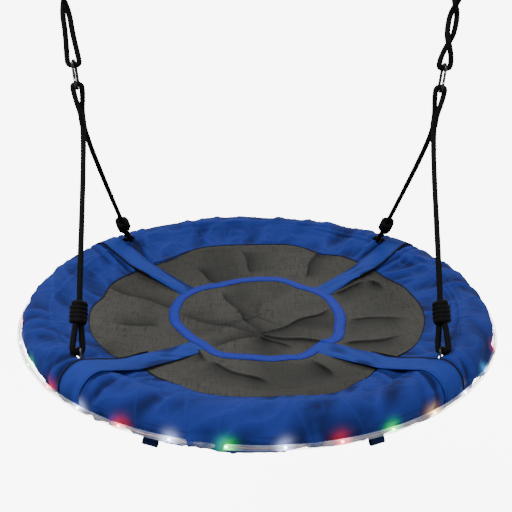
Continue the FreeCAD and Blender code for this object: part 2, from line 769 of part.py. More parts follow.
def strap_edge(lift):
    """Points of one face of a strap in its radial plane, and the arc's radius, start and end angle."""
    mat_top = -SIZES["mat_edge_top"]
    floor = -SIZES["mat_floor_drop"]
    first = Vector(SIZES["mat_floor_radius"] + 2.0, 0, floor + SIZES["mat_gap"] + 0.6 + lift)
    crest = Vector(SIZES["seat_edge_radius"] - 8.0, 0, mat_top + SIZES["flap_wall"] + 0.9 + lift)
    radius = SIZES["cover_radius"] + SIZES["strap_gap"] + lift
    gap = Vector(FRAME_RADIUS, 0, 0) - crest
    aim = math.atan2(crest.z, crest.x - FRAME_RADIUS)
    touch = aim - math.acos(radius / gap.Length)
    return first, crest, radius, touch


def strap_section():
    """Closed outline of a strap in the XZ plane."""
    stop = math.radians(SIZES["strap_end_angle"])
    low_first, low_crest, low_radius, low_touch = strap_edge(0.0)
    top_first, top_crest, top_radius, top_touch = strap_edge(SIZES["strap_wall"])

    def on_arc(radius, angle):
        return Vector(FRAME_RADIUS + radius * math.cos(angle), 0, radius * math.sin(angle))

    def around(radius, touch):
        start = touch % (2 * math.pi)
        middle = (start + stop) / 2
        return on_arc(radius, start), on_arc(radius, middle), on_arc(radius, stop)

    low_start, low_middle, low_stop = around(low_radius, low_touch)
    top_start, top_middle, top_stop = around(top_radius, top_touch)
    edges = [
        Part.LineSegment(low_first, low_crest).toShape(),
        Part.LineSegment(low_crest, low_start).toShape(),
        Part.Arc(low_start, low_middle, low_stop).toShape(),
        Part.LineSegment(low_stop, top_stop).toShape(),
        Part.Arc(top_stop, top_middle, top_start).toShape(),
        Part.LineSegment(top_start, top_crest).toShape(),
        Part.LineSegment(top_crest, top_first).toShape(),
        Part.LineSegment(top_first, low_first).toShape(),
    ]
    return Part.Face(Part.Wire(edges))


def strap_angle(side, end):
    """The straps lie beside the hangers, both a little to the front of them."""
    turn = SIZES["front_strap_turn"] if end < 0 else SIZES["back_strap_turn"]
    return hang_azimuth(side, end) - side * turn


def strap(name, side, end):
    """Cloth strap from the ring, over the rim cover and down its outside."""
    solid = strap_section().extrude(Vector(0, SIZES["strap_width"], 0))
    obj = keep_shape(name, solid)
    middle = Placement(Vector(0, -SIZES["strap_width"] / 2, 0), Rotation())
    obj.Placement = turned(strap_angle(side, end)).multiply(middle)


def rim_loop(name, angle):
    """A short folded webbing tab that stands out from the cover's lower outside."""
    outward = Rotation(Vector(0, 1, 0), SIZES["loop_tilt"] + 90)
    place = turned(angle).multiply(Placement(Vector(FRAME_RADIUS, 0, 0), outward))
    foot = SIZES["cover_radius"] + SIZES["mat_gap"]
    start = Vector(-SIZES["loop_wall"] / 2, -SIZES["loop_width"] / 2, foot)
    tab = box(name, "Sizes.loop_wall", "Sizes.loop_width", "Sizes.loop_height")
    tab.Placement = place.multiply(Placement(start, Rotation()))
    return tab


# ---------------------------------------------------------------- lights


def light_place(angle):
    return Placement(Vector(0, 0, -SIZES["eye_height"] - SIZES["light_drop"]), Rotation(UP, angle))


def light_string():
    """Clear tube all the way round from plug to plug, with the wire and the bulbs in it."""
    start = math.degrees((SIZES["plug_length"] / 2 + 0.3) / LIGHT_RADIUS)
    sweep = 360 - 2 * start
    outer = torus("tube_outer", "Sizes.light_radius", "Sizes.light_tube_radius", light_place(start), sweep)
    inside = "Sizes.light_tube_radius - Sizes.light_tube_wall"
    inner = torus("tube_inner", "Sizes.light_radius", inside, light_place(start), sweep)
    keep("light_tube", cut("light_tube", outer, inner))
    wire_place = light_place(start)
    wire = torus("light_wire", "Sizes.light_radius", "Sizes.light_wire_radius", wire_place, sweep)
    keep("light_wire", wire)
    count = int(SIZES["bulb_count"])
    along_wire = Placement(Vector(LIGHT_RADIUS, -5, 0), Rotation(ALONG_X, -90))
    bulbs = []
    for i in range(count):
        place = light_place(SIZES["bulb_start"] + i * 360 / count)
        glass = bound("Part::Sphere", "bulb_glass", Radius="Sizes.bulb_radius")
        glass.Placement = place.multiply(Placement(Vector(LIGHT_RADIUS, 0, 0), Rotation()))
        bore_size = "Sizes.light_wire_radius + Sizes.bulb_bore_gap"
        bore = cylinder("bulb_bore", bore_size, "10", place.multiply(along_wire))
        bulbs.append(cut("bulb", glass, bore))
    keep("light_bulbs", group("light_bulbs", bulbs))
    along_y = Rotation(ALONG_X, -90)
    centre = Vector(LIGHT_RADIUS, -SIZES["plug_length"] / 2, -SIZES["eye_height"] - SIZES["light_drop"])
    plug = cylinder("light_plug", "Sizes.plug_radius", "Sizes.plug_length")
    keep("light_plug", plug, Placement(centre, along_y))


def case_place(x, y, z):
    """A corner of the battery case, which lies under the seat's right edge."""
    low = -SIZES["eye_height"] - SIZES["case_drop"] - SIZES["case_height"]
    return Placement(Vector(SIZES["case_inner_end"] + x, y - SIZES["case_width"] / 2, low + z), Rotation())


def battery_case():
    """A tray open at its inner end, closed by a lid that holds the button; it sits in a cloth pouch."""
    wall = SIZES["case_wall"]
    length = "Sizes.case_length"
    shell = box("case_shell", length, "Sizes.case_width", "Sizes.case_height", case_place(0, 0, 0))
    room = box(
        "case_room",
        "Sizes.case_length - Sizes.case_wall",
        "Sizes.case_width - 2 * Sizes.case_wall",
        "Sizes.case_height - 2 * Sizes.case_wall",
        case_place(0, wall, wall),
    )
    keep("battery_case", cut("battery_case", shell, room))
    middle_y = SIZES["case_width"] / 2
    middle_z = SIZES["case_height"] / 2
    lid_place = case_place(-SIZES["lid_wall"], 0, 0)
    lid = box("lid_plate", "Sizes.lid_wall", "Sizes.case_width", "Sizes.case_height", lid_place)
    along_x = Placement(Vector(0, 0, 0), Rotation(Vector(0, 1, 0), 90))
    hole_place = case_place(-2 * SIZES["lid_wall"], middle_y, middle_z).multiply(along_x)
    hole = cylinder("lid_hole", "Sizes.button_radius + Sizes.button_gap", "4 * Sizes.lid_wall", hole_place)
    keep("battery_lid", cut("battery_lid", lid, hole))
    button_start = -SIZES["lid_wall"] - SIZES["button_proud"]
    button = cylinder("battery_button", "Sizes.button_radius", "Sizes.button_length")
    keep("battery_button", button, case_place(button_start, middle_y, middle_z).multiply(along_x))
    cells = []
    for i in (-1, 0, 1):
        cell = cylinder("cell", "Sizes.cell_radius", "Sizes.cell_length")
        offset = i * (2 * SIZES["cell_radius"] + 1.0)
        start = SIZES["case_length"] - wall - SIZES["cell_length"] - 1.0
        cell.Placement = case_place(start, middle_y + offset, middle_z).multiply(along_x)
        cells.append(cell)
    keep("battery_cells", group("battery_cells", cells))
    grow = SIZES["pouch_gap"] + SIZES["pouch_wall"]
    gap = SIZES["pouch_gap"]
    pouch_outer = box(
        "pouch_outer",
        "Sizes.case_length + Sizes.pouch_gap + Sizes.pouch_wall",
        "Sizes.case_width + 2 * Sizes.pouch_gap + 2 * Sizes.pouch_wall",
        "Sizes.case_height + 2 * Sizes.pouch_gap + 2 * Sizes.pouch_wall",
        case_place(0, -grow, -grow),
    )
    pouch_room = box(
        "pouch_room",
        "Sizes.case_length + Sizes.pouch_gap",
        "Sizes.case_width + 2 * Sizes.pouch_gap",
        "Sizes.case_height + 2 * Sizes.pouch_gap",
        case_place(0, -gap, -gap),
    )
    way_out = cylinder("pouch_hole", "Sizes.lead_radius + 1", "10")
    way_out.Placement = case_place(SIZES["case_length"] - 2, middle_y, middle_z).multiply(along_x)
    keep("battery_pouch", cut("battery_pouch", pouch_outer, fuse("pouch_cuts", [pouch_room, way_out])))


def light_lead():
    """Wire from the battery case, round the underside of the rim cover, up into the plug."""
    middle = -SIZES["case_drop"] - SIZES["case_height"] / 2
    reach = SIZES["cover_radius"] + 4.5
    rim = -SIZES["eye_height"]
    start = SIZES["case_inner_end"] + SIZES["case_length"] + 0.1
    places = [(start, middle), (start + 20.0, middle - 1.0)]
    for angle in (-118, -88, -60, -34):
        turn = math.radians(angle)
        places.append((FRAME_RADIUS + reach * math.cos(turn), reach * math.sin(turn)))
    places.append((LIGHT_RADIUS, -SIZES["light_drop"] - SIZES["plug_radius"] + 0.2))
    cord("light_lead", [(Vector(x, 0, rim + z), None) for x, z in places], SIZES["lead_radius"])


# ---------------------------------------------------------------- build


def build():
    for side_name, side in SIDES:
        thimble(f"{side_name}_hanging_thimble", side)
        sling(f"{side_name}_sling", side, LEFT_SLING if side < 0 else RIGHT_SLING)
        rope(f"{side_name}_rope", side)
        whipping(f"{side_name}_rope_whipping", side)
        carabiner(f"{side_name}_upper_carabiner", "top_link", upper_place(side))
        gate(f"{side_name}_upper_gate", "top_link", upper_place(side))
        for end_name, end in ENDS:
            corner = f"{end_name}_{side_name}"
            knot(f"{corner}_knot", side, end)
            carabiner(f"{corner}_carabiner", "low_link", lower_place(side, end))
            gate(f"{corner}_gate", "low_link", lower_place(side, end))
            hanger(f"{corner}_hanger", side, end)
            strap(f"{corner}_strap", side, end)
    upper_pins = [gate_pin("pin", "top_link", upper_place(side)) for _, side in SIDES]
    keep("upper_gate_pins", group("upper_gate_pins", upper_pins))
    lower_pins = [gate_pin("pin", "low_link", lower_place(side, end)) for _, side in SIDES for _, end in ENDS]
    keep("lower_gate_pins", group("lower_gate_pins", lower_pins))

    for quarter in range(4):
        frame_tube(f"frame_tube_{quarter + 1}", quarter)
    sleeves = [joint_sleeve("joint_sleeve", joint) for joint in JOINT_ANGLES]
    keep("frame_joint_sleeves", group("frame_joint_sleeves", sleeves))
    angles = [angle for joint in JOINT_ANGLES for angle in bolt_angles(joint)]
    keep("frame_bolts", group("frame_bolts", [bolt("bolt", angle) for angle in angles]))
    keep("frame_nuts", group("frame_nuts", [nut("nut", angle) for angle in angles]))

    corners = {(side, end): opening_angles(side, end) for _, side in SIDES for _, end in ENDS}
    foam_sleeve("foam_right", corners[1, -1][1], corners[1, 1][0], 0)
    foam_sleeve("foam_back", corners[1, 1][1], corners[-1, 1][0], 90)
    foam_sleeve("foam_left", corners[-1, 1][1], corners[-1, -1][0], 180)
    foam_sleeve("foam_front", corners[-1, -1][1], corners[1, -1][0], 270)

    rim_cover()
    seat_mat()
    centre_ring()
    count = int(SIZES["loop_count"])
    loops = [rim_loop("rim_loop", SIZES["loop_start_angle"] + i * 360 / count) for i in range(count)]
    keep("rim_loops", group("rim_loops", loops))
    light_string()
    battery_case()
    light_lead()


def check_and_write():
    doc.recompute()
    faults = [obj.Label for obj in doc.Objects if {"Invalid", "Error"} & set(obj.State)]
    faults += [piece.Label for piece in pieces if piece.Shape.isNull() or not piece.Shape.isValid()]
    if faults:
        raise RuntimeError("not built: " + ", ".join(faults))
    os.makedirs("parts", exist_ok=True)
    for piece in pieces:
        piece.Shape.exportStep(f"parts/{piece.Label}.step")
    print(len(pieces), "sub-parts written")


build()
check_and_write()
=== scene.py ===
import math

import bpy
import numpy as np
from mathutils import Euler, Matrix, Vector


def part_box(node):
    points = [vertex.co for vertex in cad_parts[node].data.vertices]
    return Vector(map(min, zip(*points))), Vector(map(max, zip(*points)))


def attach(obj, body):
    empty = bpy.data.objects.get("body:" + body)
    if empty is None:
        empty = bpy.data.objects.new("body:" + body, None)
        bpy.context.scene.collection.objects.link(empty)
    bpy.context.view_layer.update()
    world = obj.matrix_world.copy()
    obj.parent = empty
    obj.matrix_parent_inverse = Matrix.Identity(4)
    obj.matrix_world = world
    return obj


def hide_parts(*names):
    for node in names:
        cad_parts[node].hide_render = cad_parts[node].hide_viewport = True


# A saucer nest swing with a padded cloth rim, in metres, in the frame of the CAD part:
# the origin is the middle of the line through the two hanging eyes, +Z is up, -Y is the front.

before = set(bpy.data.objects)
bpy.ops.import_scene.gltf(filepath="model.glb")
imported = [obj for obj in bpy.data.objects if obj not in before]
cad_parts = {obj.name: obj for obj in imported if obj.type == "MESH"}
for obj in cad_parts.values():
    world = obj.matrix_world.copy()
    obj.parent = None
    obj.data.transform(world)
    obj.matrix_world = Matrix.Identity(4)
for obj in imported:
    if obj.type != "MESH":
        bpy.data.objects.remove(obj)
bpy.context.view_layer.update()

# ---------------------------------------------------------------- sizes shared with the CAD part

HANG_X = 0.379
RIM_Z = -0.668
FRAME_RADIUS = 0.470
COVER_RADIUS = 0.038
HANG_ANGLE = math.radians(44.5)
FOOT_X = FRAME_RADIUS * math.cos(HANG_ANGLE)
FOOT_Y = FRAME_RADIUS * math.sin(HANG_ANGLE)
LEAN = math.atan((HANG_X - FOOT_X) / -RIM_Z)
ROPE_RADIUS = 0.0055
STRAND = 0.0057
EYE_HALF = 0.0112
EYE_LIFT = 0.0478
HOLD = 0.0091
SLING_FOOT = 0.1553
FOLD_DOWN = 0.1915
SPLIT_DOWN = 0.2978
KNOT_LOW = 0.099
KNOT_LENGTH = 0.047
THIMBLE_GROOVE = 0.015
THIMBLE_LOOP = 0.0209
SEAT_RADIUS = 0.374
FLOOR_RADIUS = 0.206
MAT_EDGE = -0.0096
MAT_FLOOR = -0.042
STRAP_WIDTH = 0.055
HANGER_SHIFT = 0.0122
FRONT_STRAP_TURN = 4.4
BACK_STRAP_TURN = 8.9
LIGHT_RADIUS = 0.516
LIGHT_DROP = 0.006
LEAD_REACH = COVER_RADIUS + 0.0045
BULB_COUNT = 35
BULB_START = 222.0
LOOP_COUNT = 8
LOOP_START = 292.5

SIDES = (("left", -1), ("right", 1))
ENDS = (("front", -1), ("back", 1))


def hanging(side, out, y, down):
    """A point of one side's leaning plane: square to it, along Y, and down from the eye."""
    eye = Vector((side * HANG_X, 0, 0))
    outward = Vector((side * math.cos(LEAN), 0, -math.sin(LEAN)))
    downward = Vector((-side * math.sin(LEAN), 0, -math.cos(LEAN)))
    return eye + outward * out + Vector((0, y, 0)) + downward * down


def leg_axes(side, end):
    """Foot on the frame tube's axis, up the leg, along the link, and across the rope eye."""
    foot = Vector((side * FOOT_X, end * FOOT_Y, RIM_Z))
    up = (hanging(side, 0, end * STRAND, SPLIT_DOWN) - foot).normalized()
    tangent = Vector((-foot.y, foot.x, 0)).normalized()
    along = (tangent - up * tangent.dot(up)).normalized()
    across = up.cross(along)
    if across.z > 0:
        across = -across
    return foot, up, along, across


def hang_azimuth(side, end):
    return math.degrees(math.atan2(end * FOOT_Y, side * FOOT_X))


def corner_signs(corner):
    """-1 for left or 1 for right, and -1 for front or 1 for back."""
    return (1 if "right" in corner else -1), (1 if "back" in corner else -1)


def strap_azimuth(side, end):
    if end < 0:
        return hang_azimuth(side, end) - side * FRONT_STRAP_TURN
    return hang_azimuth(side, end) - side * BACK_STRAP_TURN


STRAPS = {f"{e}_{s}": strap_azimuth(side, end) for s, side in SIDES for e, end in ENDS}
CORNERS = {f"{e}_{s}": hang_azimuth(side, end) for s, side in SIDES for e, end in ENDS}


# ---------------------------------------------------------------- shader maths and finishes


class Value:
    """A shader socket; arithmetic on it adds Math nodes."""

    def __init__(self, finish, socket):
        self.finish = finish
        self.socket = socket

    def maths(self, operation, *values):
        return self.finish.node("ShaderNodeMath", {"operation": operation}, *values)

    def __add__(self, other):
        return self.maths("ADD", self, other)

    def __sub__(self, other):
        return self.maths("SUBTRACT", self, other)

    def __rsub__(self, other):
        return self.maths("SUBTRACT", other, self)

    def __mul__(self, other):
        return self.maths("MULTIPLY", self, other)

    def __truediv__(self, other):
        return self.maths("DIVIDE", self, other)

    def __pow__(self, other):
        return self.maths("POWER", self, other)

    __radd__ = __add__
    __rmul__ = __mul__

    def sine(self):
        return self.maths("SINE", self)

    def size(self):
        return self.maths("ABSOLUTE", self)

    def over(self, other):
        return self.maths("GREATER_THAN", self, other)


class Finish:
    """One material, built round its Principled shader."""

    def __init__(self, name, **constants):
        self.material = bpy.data.materials.new(name)
        self.material.use_nodes = True
        self.tree = self.material.node_tree
        self.shader = self.tree.nodes["Principled BSDF"]
        for key, value in constants.items():
            self.shader.inputs[key.replace("_", " ")].default_value = value

    def put(self, socket, value):
        if isinstance(value, Value):
            self.tree.links.new(value.socket, socket)
        elif value is not None:
            socket.default_value = value

    def node(self, kind, settings=None, *values, out=0, **named):
        """Any node: its settings first, then the values or links of its sockets by place or by name."""
        node = self.tree.nodes.new(kind)
        for key, value in (settings or {}).items():
            if key == "stops":
                ramp = node.color_ramp.elements
                while len(ramp) < len(value):
                    ramp.new(1.0)
                for stop, (place, colour) in zip(ramp, value):
                    stop.position = place
                    stop.color = (*colour, 1.0)
            elif key == "interpolation":
                node.color_ramp.interpolation = value
            else:
                setattr(node, key, value)
        for socket, value in zip(node.inputs, values):
            self.put(socket, value)
        for key, value in named.items():
            self.put(node.inputs[key.replace("_", " ")], value)
        return Value(self, node.outputs[out])

    def coordinates(self, which="Object"):
        return self.node("ShaderNodeTexCoord", out=which)

    def parts(self, vector):
        split = self.tree.nodes.new("ShaderNodeSeparateXYZ")
        self.put(split.inputs[0], vector)
        return [Value(self, split.outputs[i]) for i in range(3)]

    def noise(self, where, scale, detail=3.0, roughness=0.5):
        return self.node(
            "ShaderNodeTexNoise", {}, Vector=where, Scale=scale, Detail=detail, Roughness=roughness
        )

    def attribute(self, name, out="Fac"):
        return self.node("ShaderNodeAttribute", {"attribute_name": name}, out=out)

    def mixed(self, factor, first, second, blend="MIX"):
        """Mix of two colours."""
        node = self.tree.nodes.new("ShaderNodeMix")
        node.data_type = "RGBA"
        node.blend_type = blend
        self.put(node.inputs[0], factor)
        for socket, value in ((node.inputs[6], first), (node.inputs[7], second)):
            self.put(socket, value if isinstance(value, Value) else (*value, 1.0))
        return Value(self, node.outputs[2])

    def bump(self, height, distance, strength=1.0, normal=None):
        return self.node(
            "ShaderNodeBump", {}, Height=height, Distance=distance, Strength=strength, Normal=normal
        )

    def set(self, **links):
        for key, value in links.items():
            self.put(self.shader.inputs[key.replace("_", " ")], value)
        return self.material


CLOTH_PITCH = 0.0011
TAPE_PITCH = 0.0014
WEBBING_PITCH = 0.0016
THREAD_PITCH = 0.0009
MESH_PITCH = 0.0021


def woven_height(finish, pitch):
    """Height of a plain weave on the cloth's own coordinates, with its thread pitch in metres."""
    across, along, _ = finish.parts(finish.coordinates("UV"))
    across = across * (math.pi / pitch)
    along = along * (math.pi / pitch)
    over = (across.sine() * along.sine()).over(0.0)
    warp = across.sine().size()
    weft = along.sine().size()
    return warp * over + weft * (1 - over)


def cloth(name, colour, shadow, pitch, mottle=0.25, roughness=0.85, glow=0.0):
    """Woven cloth with painted shade in its folds, where the fold attribute mixes it towards its shadow
    colour, and varying a little over its surface; glow is the strength of the painted bulb light it gives
    off.
    """
    finish = Finish(name, Specular_IOR_Level=0.12, Emission_Strength=glow)
    where = finish.coordinates()
    patches = finish.noise(where, 14.0)
    fine = finish.noise(where, 260.0, 2.0)
    fold = finish.attribute("fold")
    lighter = tuple(min(1.0, c * 1.45) for c in colour)
    base = finish.mixed(patches * mottle + fine * 0.3, colour, lighter)
    # Painted shade: darker towards the shadow colour where the fold attribute marks folds and hollows.
    base = finish.mixed(fold, base, shadow)
    weave = finish.bump(woven_height(finish, pitch), 0.00012)
    creased = finish.bump(finish.noise(where, 95.0, 4.0, 0.6), 0.0012, 0.4, weave)
    # Painted light of the bulbs, from the glow attribute.
    if glow:
        finish.set(Emission_Color=finish.attribute("glow", "Color"))
    return finish.set(Base_Color=base, Roughness=roughness + fine * 0.12 - 0.06, Normal=creased)


def mesh_cloth():
    """Open dark mesh: pale and dark threads crossing, with broad paler and darker fields."""
    finish = Finish("grey_mesh_cloth", Specular_IOR_Level=0.15)
    where = finish.coordinates()
    across, along, _ = finish.parts(where)
    warp = (across * (math.pi / MESH_PITCH)).sine().size()
    weft = (along * (math.pi / MESH_PITCH)).sine().size()
    fields = finish.noise(where, 7.0, 4.0, 0.6)
    crosswise = finish.node("ShaderNodeMapping", {}, Vector=where, Scale=(420.0, 26.0, 26.0))
    lengthwise = finish.node("ShaderNodeMapping", {}, Vector=where, Scale=(26.0, 420.0, 26.0))
    slubs = finish.noise(crosswise, 1.0, 3.0)
    runs = finish.noise(lengthwise, 1.0, 3.0)
    thread = (slubs + runs - 0.72) * 2.6 + (warp + weft) * 0.12
    fold = finish.attribute("fold")
    base = finish.mixed(thread, (0.0030, 0.0030, 0.0027), (0.048, 0.0472, 0.0410))
    base = finish.mixed(fields * 0.55, base, (0.018, 0.0178, 0.0152))
    # Painted shade: darker where the fold attribute marks the seat's creases and sunken patches.
    base = finish.mixed(fold, base, (0.0022, 0.0022, 0.0020))
    weave = finish.bump(warp * 0.5 + weft * 0.5, 0.0003)
    return finish.set(Base_Color=base, Roughness=0.72 + thread * 0.15, Normal=weave)


def braided_cord():
    """Black braided polyester: dull, with paler and glossier crowns on the braid."""
    finish = Finish("black_braid", Specular_IOR_Level=0.10)
    where = finish.coordinates()
    crown = finish.attribute("fold")
    fibre = finish.noise(where, 900.0, 2.0)
    base = finish.mixed(crown * 0.5 + fibre * 0.25, (0.0008, 0.0008, 0.0009), (0.0030, 0.0030, 0.0033))
    return finish.set(Base_Color=base, Roughness=0.85 - crown * 0.12, Normal=finish.bump(fibre, 0.0003, 0.5))


def zinc_steel(name, tone, roughness):
    finish = Finish(name, Metallic=1.0)
    where = finish.coordinates()
    cloud = finish.noise(where, 160.0, 4.0, 0.6)
    scratch = finish.noise(where, 1400.0, 2.0)
    base = finish.mixed(cloud, tuple(c * 0.62 for c in tone), tone)
    return finish.set(
        Base_Color=base, Roughness=roughness + cloud * 0.18 - 0.05, Normal=finish.bump(scratch, 0.00006, 0.5)
    )


def moulded(name, colour, roughness):
    finish = Finish(name)
    where = finish.coordinates()
    grain = finish.noise(where, 2600.0, 2.0)
    cloud = finish.noise(where, 60.0, 3.0)
    base = finish.mixed(cloud * 0.5, colour, tuple(min(1.0, c * 1.6 + 0.004) for c in colour))
    return finish.set(
        Base_Color=base, Roughness=roughness + cloud * 0.1, Normal=finish.bump(grain, 0.00008, 0.6)
    )


def foam_sponge():
    finish = Finish("grey_foam")
    where = finish.coordinates()
    cells = finish.node("ShaderNodeTexVoronoi", {}, Vector=where, Scale=900.0)
    base = finish.mixed(cells, (0.03, 0.03, 0.035), (0.09, 0.09, 0.1))
    return finish.set(Base_Color=base, Roughness=0.95, Normal=finish.bump(cells, 0.0004, 0.8))


def clear_pipe():
    """Clear soft tube: see-through face on, with a painted reflection that makes it whiter and more opaque
    towards its edges, and painted light near each bulb, where it gives off the bulb's colour and is more
    opaque.
    """
    finish = Finish("clear_tube", Roughness=0.12, IOR=1.45, Emission_Strength=2.6)
    facing = finish.node("ShaderNodeLayerWeight", {}, 0.35, out="Facing")
    streak = finish.noise(finish.coordinates(), 45.0, 3.0)
    base = finish.mixed(streak, (0.20, 0.26, 0.40), (0.80, 0.86, 0.95))
    # Painted light: the fold attribute holds how near a bulb each place is.
    lit = finish.attribute("fold")
    clear = facing * facing * 0.45 + streak * streak * 0.30
    return finish.set(
        Base_Color=base, Alpha=clear + lit * 0.30, Roughness=streak * 0.25,
        Emission_Color=finish.attribute("glow", "Color"),
    )


def lit_bulb(name, colour, strength):
    """A lit bulb, whitest in its middle."""
    finish = Finish(name, Roughness=0.3, Emission_Strength=strength)
    facing = finish.node("ShaderNodeLayerWeight", {}, 0.3, out="Facing")
    pale = tuple(0.35 + 0.65 * c for c in colour)
    return finish.set(Base_Color=(*colour, 1.0), Emission_Color=finish.mixed(facing, pale, colour))


# BLUE_SHADOW and the shadow colour given to each cloth below are painted shade, mixed in where the fold
# attribute marks folds and hollows.
BLUE = (0.0090, 0.0205, 0.142)
BLUE_SHADOW = (0.0030, 0.0066, 0.052)
# The cover cloth also gives off the painted light of the bulbs near them, at strength 0.75.
COVER_CLOTH = cloth("blue_cover_cloth", BLUE, BLUE_SHADOW, CLOTH_PITCH, glow=0.75)
POUCH_CLOTH = cloth("blue_pouch_cloth", BLUE, BLUE_SHADOW, CLOTH_PITCH)
STRAP_CLOTH = cloth("blue_strap_cloth", (0.0095, 0.0245, 0.160), BLUE_SHADOW, CLOTH_PITCH, 0.3)
TAPE_CLOTH = cloth(
    "royal_blue_tape", (0.0070, 0.0165, 0.190), (0.0030, 0.0070, 0.080), TAPE_PITCH, 0.2, 0.75
)
MAT_CLOTH = mesh_cloth()
BLACK_WEBBING = cloth(
    "black_webbing", (0.0020, 0.0020, 0.0024), (0.0008, 0.0008, 0.0008), WEBBING_PITCH, 0.5, 0.85
)
NAVY_WEBBING = cloth("navy_webbing", (0.0040, 0.0100, 0.055), (0.0015, 0.0036, 0.020), TAPE_PITCH)
ROPE_BRAID = braided_cord()
BLACK_THREAD = cloth(
    "black_thread", (0.0012, 0.0012, 0.0014), (0.0005, 0.0005, 0.0005), THREAD_PITCH, 0.4, 0.8
)
LINK_STEEL = zinc_steel("dark_zinc_link", (0.040, 0.040, 0.043), 0.24)
GATE_STEEL = zinc_steel("bright_gate", (0.070, 0.070, 0.074), 0.20)
THIMBLE_STEEL = zinc_steel("galvanised_thimble", (0.35, 0.36, 0.38), 0.38)
TUBE_STEEL = zinc_steel("galvanised_tube", (0.35, 0.36, 0.38), 0.42)
BOLT_STEEL = zinc_steel("zinc_bolt", (0.35, 0.34, 0.31), 0.33)
CELL_CAN = zinc_steel("cell_can", (0.35, 0.35, 0.35), 0.35)
COPPER = zinc_steel("copper_wire", (0.50, 0.22, 0.12), 0.3)
CASE_PLASTIC = moulded("black_case_plastic", (0.006, 0.006, 0.0065), 0.5)
BUTTON_PLASTIC = moulded("grey_button_plastic", (0.10, 0.10, 0.105), 0.45)
LEAD_RUBBER = moulded("black_lead_rubber", (0.004, 0.004, 0.0045), 0.55)
FOAM = foam_sponge()
CLEAR_PIPE = clear_pipe()

CAD_FINISHES = {
    LINK_STEEL: [f"{s}_upper_carabiner" for s, _ in SIDES] + [f"{c}_carabiner" for c in CORNERS],
    GATE_STEEL: [f"{s}_upper_gate" for s, _ in SIDES] + [f"{c}_gate" for c in CORNERS],
    THIMBLE_STEEL: [f"{s}_hanging_thimble" for s, _ in SIDES],
    BOLT_STEEL: ["upper_gate_pins", "lower_gate_pins", "frame_bolts", "frame_nuts"],
    TUBE_STEEL: [f"frame_tube_{i}" for i in (1, 2, 3, 4)] + ["frame_joint_sleeves"],
    COPPER: ["light_wire"],
    CASE_PLASTIC: ["light_plug", "battery_case", "battery_lid"],
    BUTTON_PLASTIC: ["battery_button"],
    CELL_CAN: ["battery_cells"],
}
for finish_material, nodes in CAD_FINISHES.items():
    for node_name in nodes:
        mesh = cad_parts[node_name].data
        mesh.materials.clear()
        mesh.materials.append(finish_material)


# ---------------------------------------------------------------- meshes


def grid_mesh(
    name, points, close_u=False, close_v=False, capped=False, fold=None, keep=None, size=None, tint=None
):
    """A mesh on a grid of points, with UVs in metres, each point's fold value and its glow: most finishes
    turn the fold value into painted shade in folds and hollows, and the glow is the painted light of the
    bulbs.

    capped closes the first and last rows, keep says which cells are there, and size is the
    grid's flat length and width in metres, if they aren't to be measured from the points.
    """
    rows, columns = points.shape[:2]
    u_cells = rows if close_u else rows - 1
    v_cells = columns if close_v else columns - 1
    i, j = np.meshgrid(np.arange(u_cells), np.arange(v_cells), indexing="ij")
    if keep is not None:
        i, j = i[keep[:u_cells, :v_cells]], j[keep[:u_cells, :v_cells]]
    i, j = i.ravel(), j.ravel()
    after_i, after_j = (i + 1) % rows, (j + 1) % columns
    row, after_row = i * columns, after_i * columns
    faces = np.stack([row + j, after_row + j, after_row + after_j, row + after_j], 1)
    used = np.unique(faces)
    place = np.full(rows * columns, -1)
    place[used] = np.arange(len(used))
    vertices = points.reshape(-1, 3)[used].tolist()
    faces = place[faces].tolist()
    if size is None:
        size = (
            np.linalg.norm(np.diff(points, axis=0), axis=2).mean(1).sum(),
            np.linalg.norm(np.diff(points, axis=1), axis=2).mean(0).sum(),
        )
    u = np.linspace(0, size[0], u_cells + 1)
    v = np.linspace(0, size[1], v_cells + 1)
    uvs = np.stack([u[i], v[j], u[i + 1], v[j], u[i + 1], v[j + 1], u[i], v[j + 1]], 1).ravel()
    folds = (np.zeros(rows * columns) if fold is None else fold.ravel())[used]
    if capped:
        for end, order in ((0, 1), (rows - 1, -1)):
            middle = len(vertices)
            vertices.append(points[end].mean(0).tolist())
            ring = [int(place[end * columns + k]) for k in range(columns)][::order]
            faces += [[middle, ring[(k + 1) % columns], ring[k]] for k in range(columns)]
            uvs = np.concatenate([uvs, np.zeros(6 * columns)])
            folds = np.append(folds, 0.0)
    mesh = bpy.data.meshes.new(name)
    mesh.from_pydata(vertices, [], faces)
    mesh.uv_layers.new(name="UVMap").uv.foreach_set("vector", uvs.astype(np.float32))
    mesh.attributes.new("fold", "FLOAT", "POINT").data.foreach_set("value", folds.astype(np.float32))
    if tint is not None:
        glow = np.ones((len(vertices), 4), np.float32)
        glow[: len(used), :3] = tint.reshape(-1, 3)[used]
        mesh.attributes.new("glow", "FLOAT_COLOR", "POINT").data.foreach_set("color", glow.ravel())
    mesh.polygons.foreach_set("use_smooth", [True] * len(mesh.polygons))
    mesh.update()
    return mesh


def add_piece(name, data, body, material, replaces=()):
    """A piece that rides on a body, with its finish and the CAD nodes it stands for."""
    piece = bpy.data.objects.new(name, data)
    bpy.context.scene.collection.objects.link(piece)
    data.materials.append(material)
    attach(piece, body)
    if replaces:
        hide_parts(*replaces)
    return piece


def thicken(piece, thickness, offset=-1.0, rim=None):
    """Give a sheet its thickness: inwards at offset -1, outwards at 1; rim finishes its edges."""
    solid = piece.modifiers.new("thickness", "SOLIDIFY")
    solid.thickness = thickness
    solid.offset = offset
    solid.use_quality_normals = True
    if rim is not None:
        piece.data.materials.append(rim)
        solid.material_offset_rim = 1
    return piece


NOISE_CELLS = (97, 89)


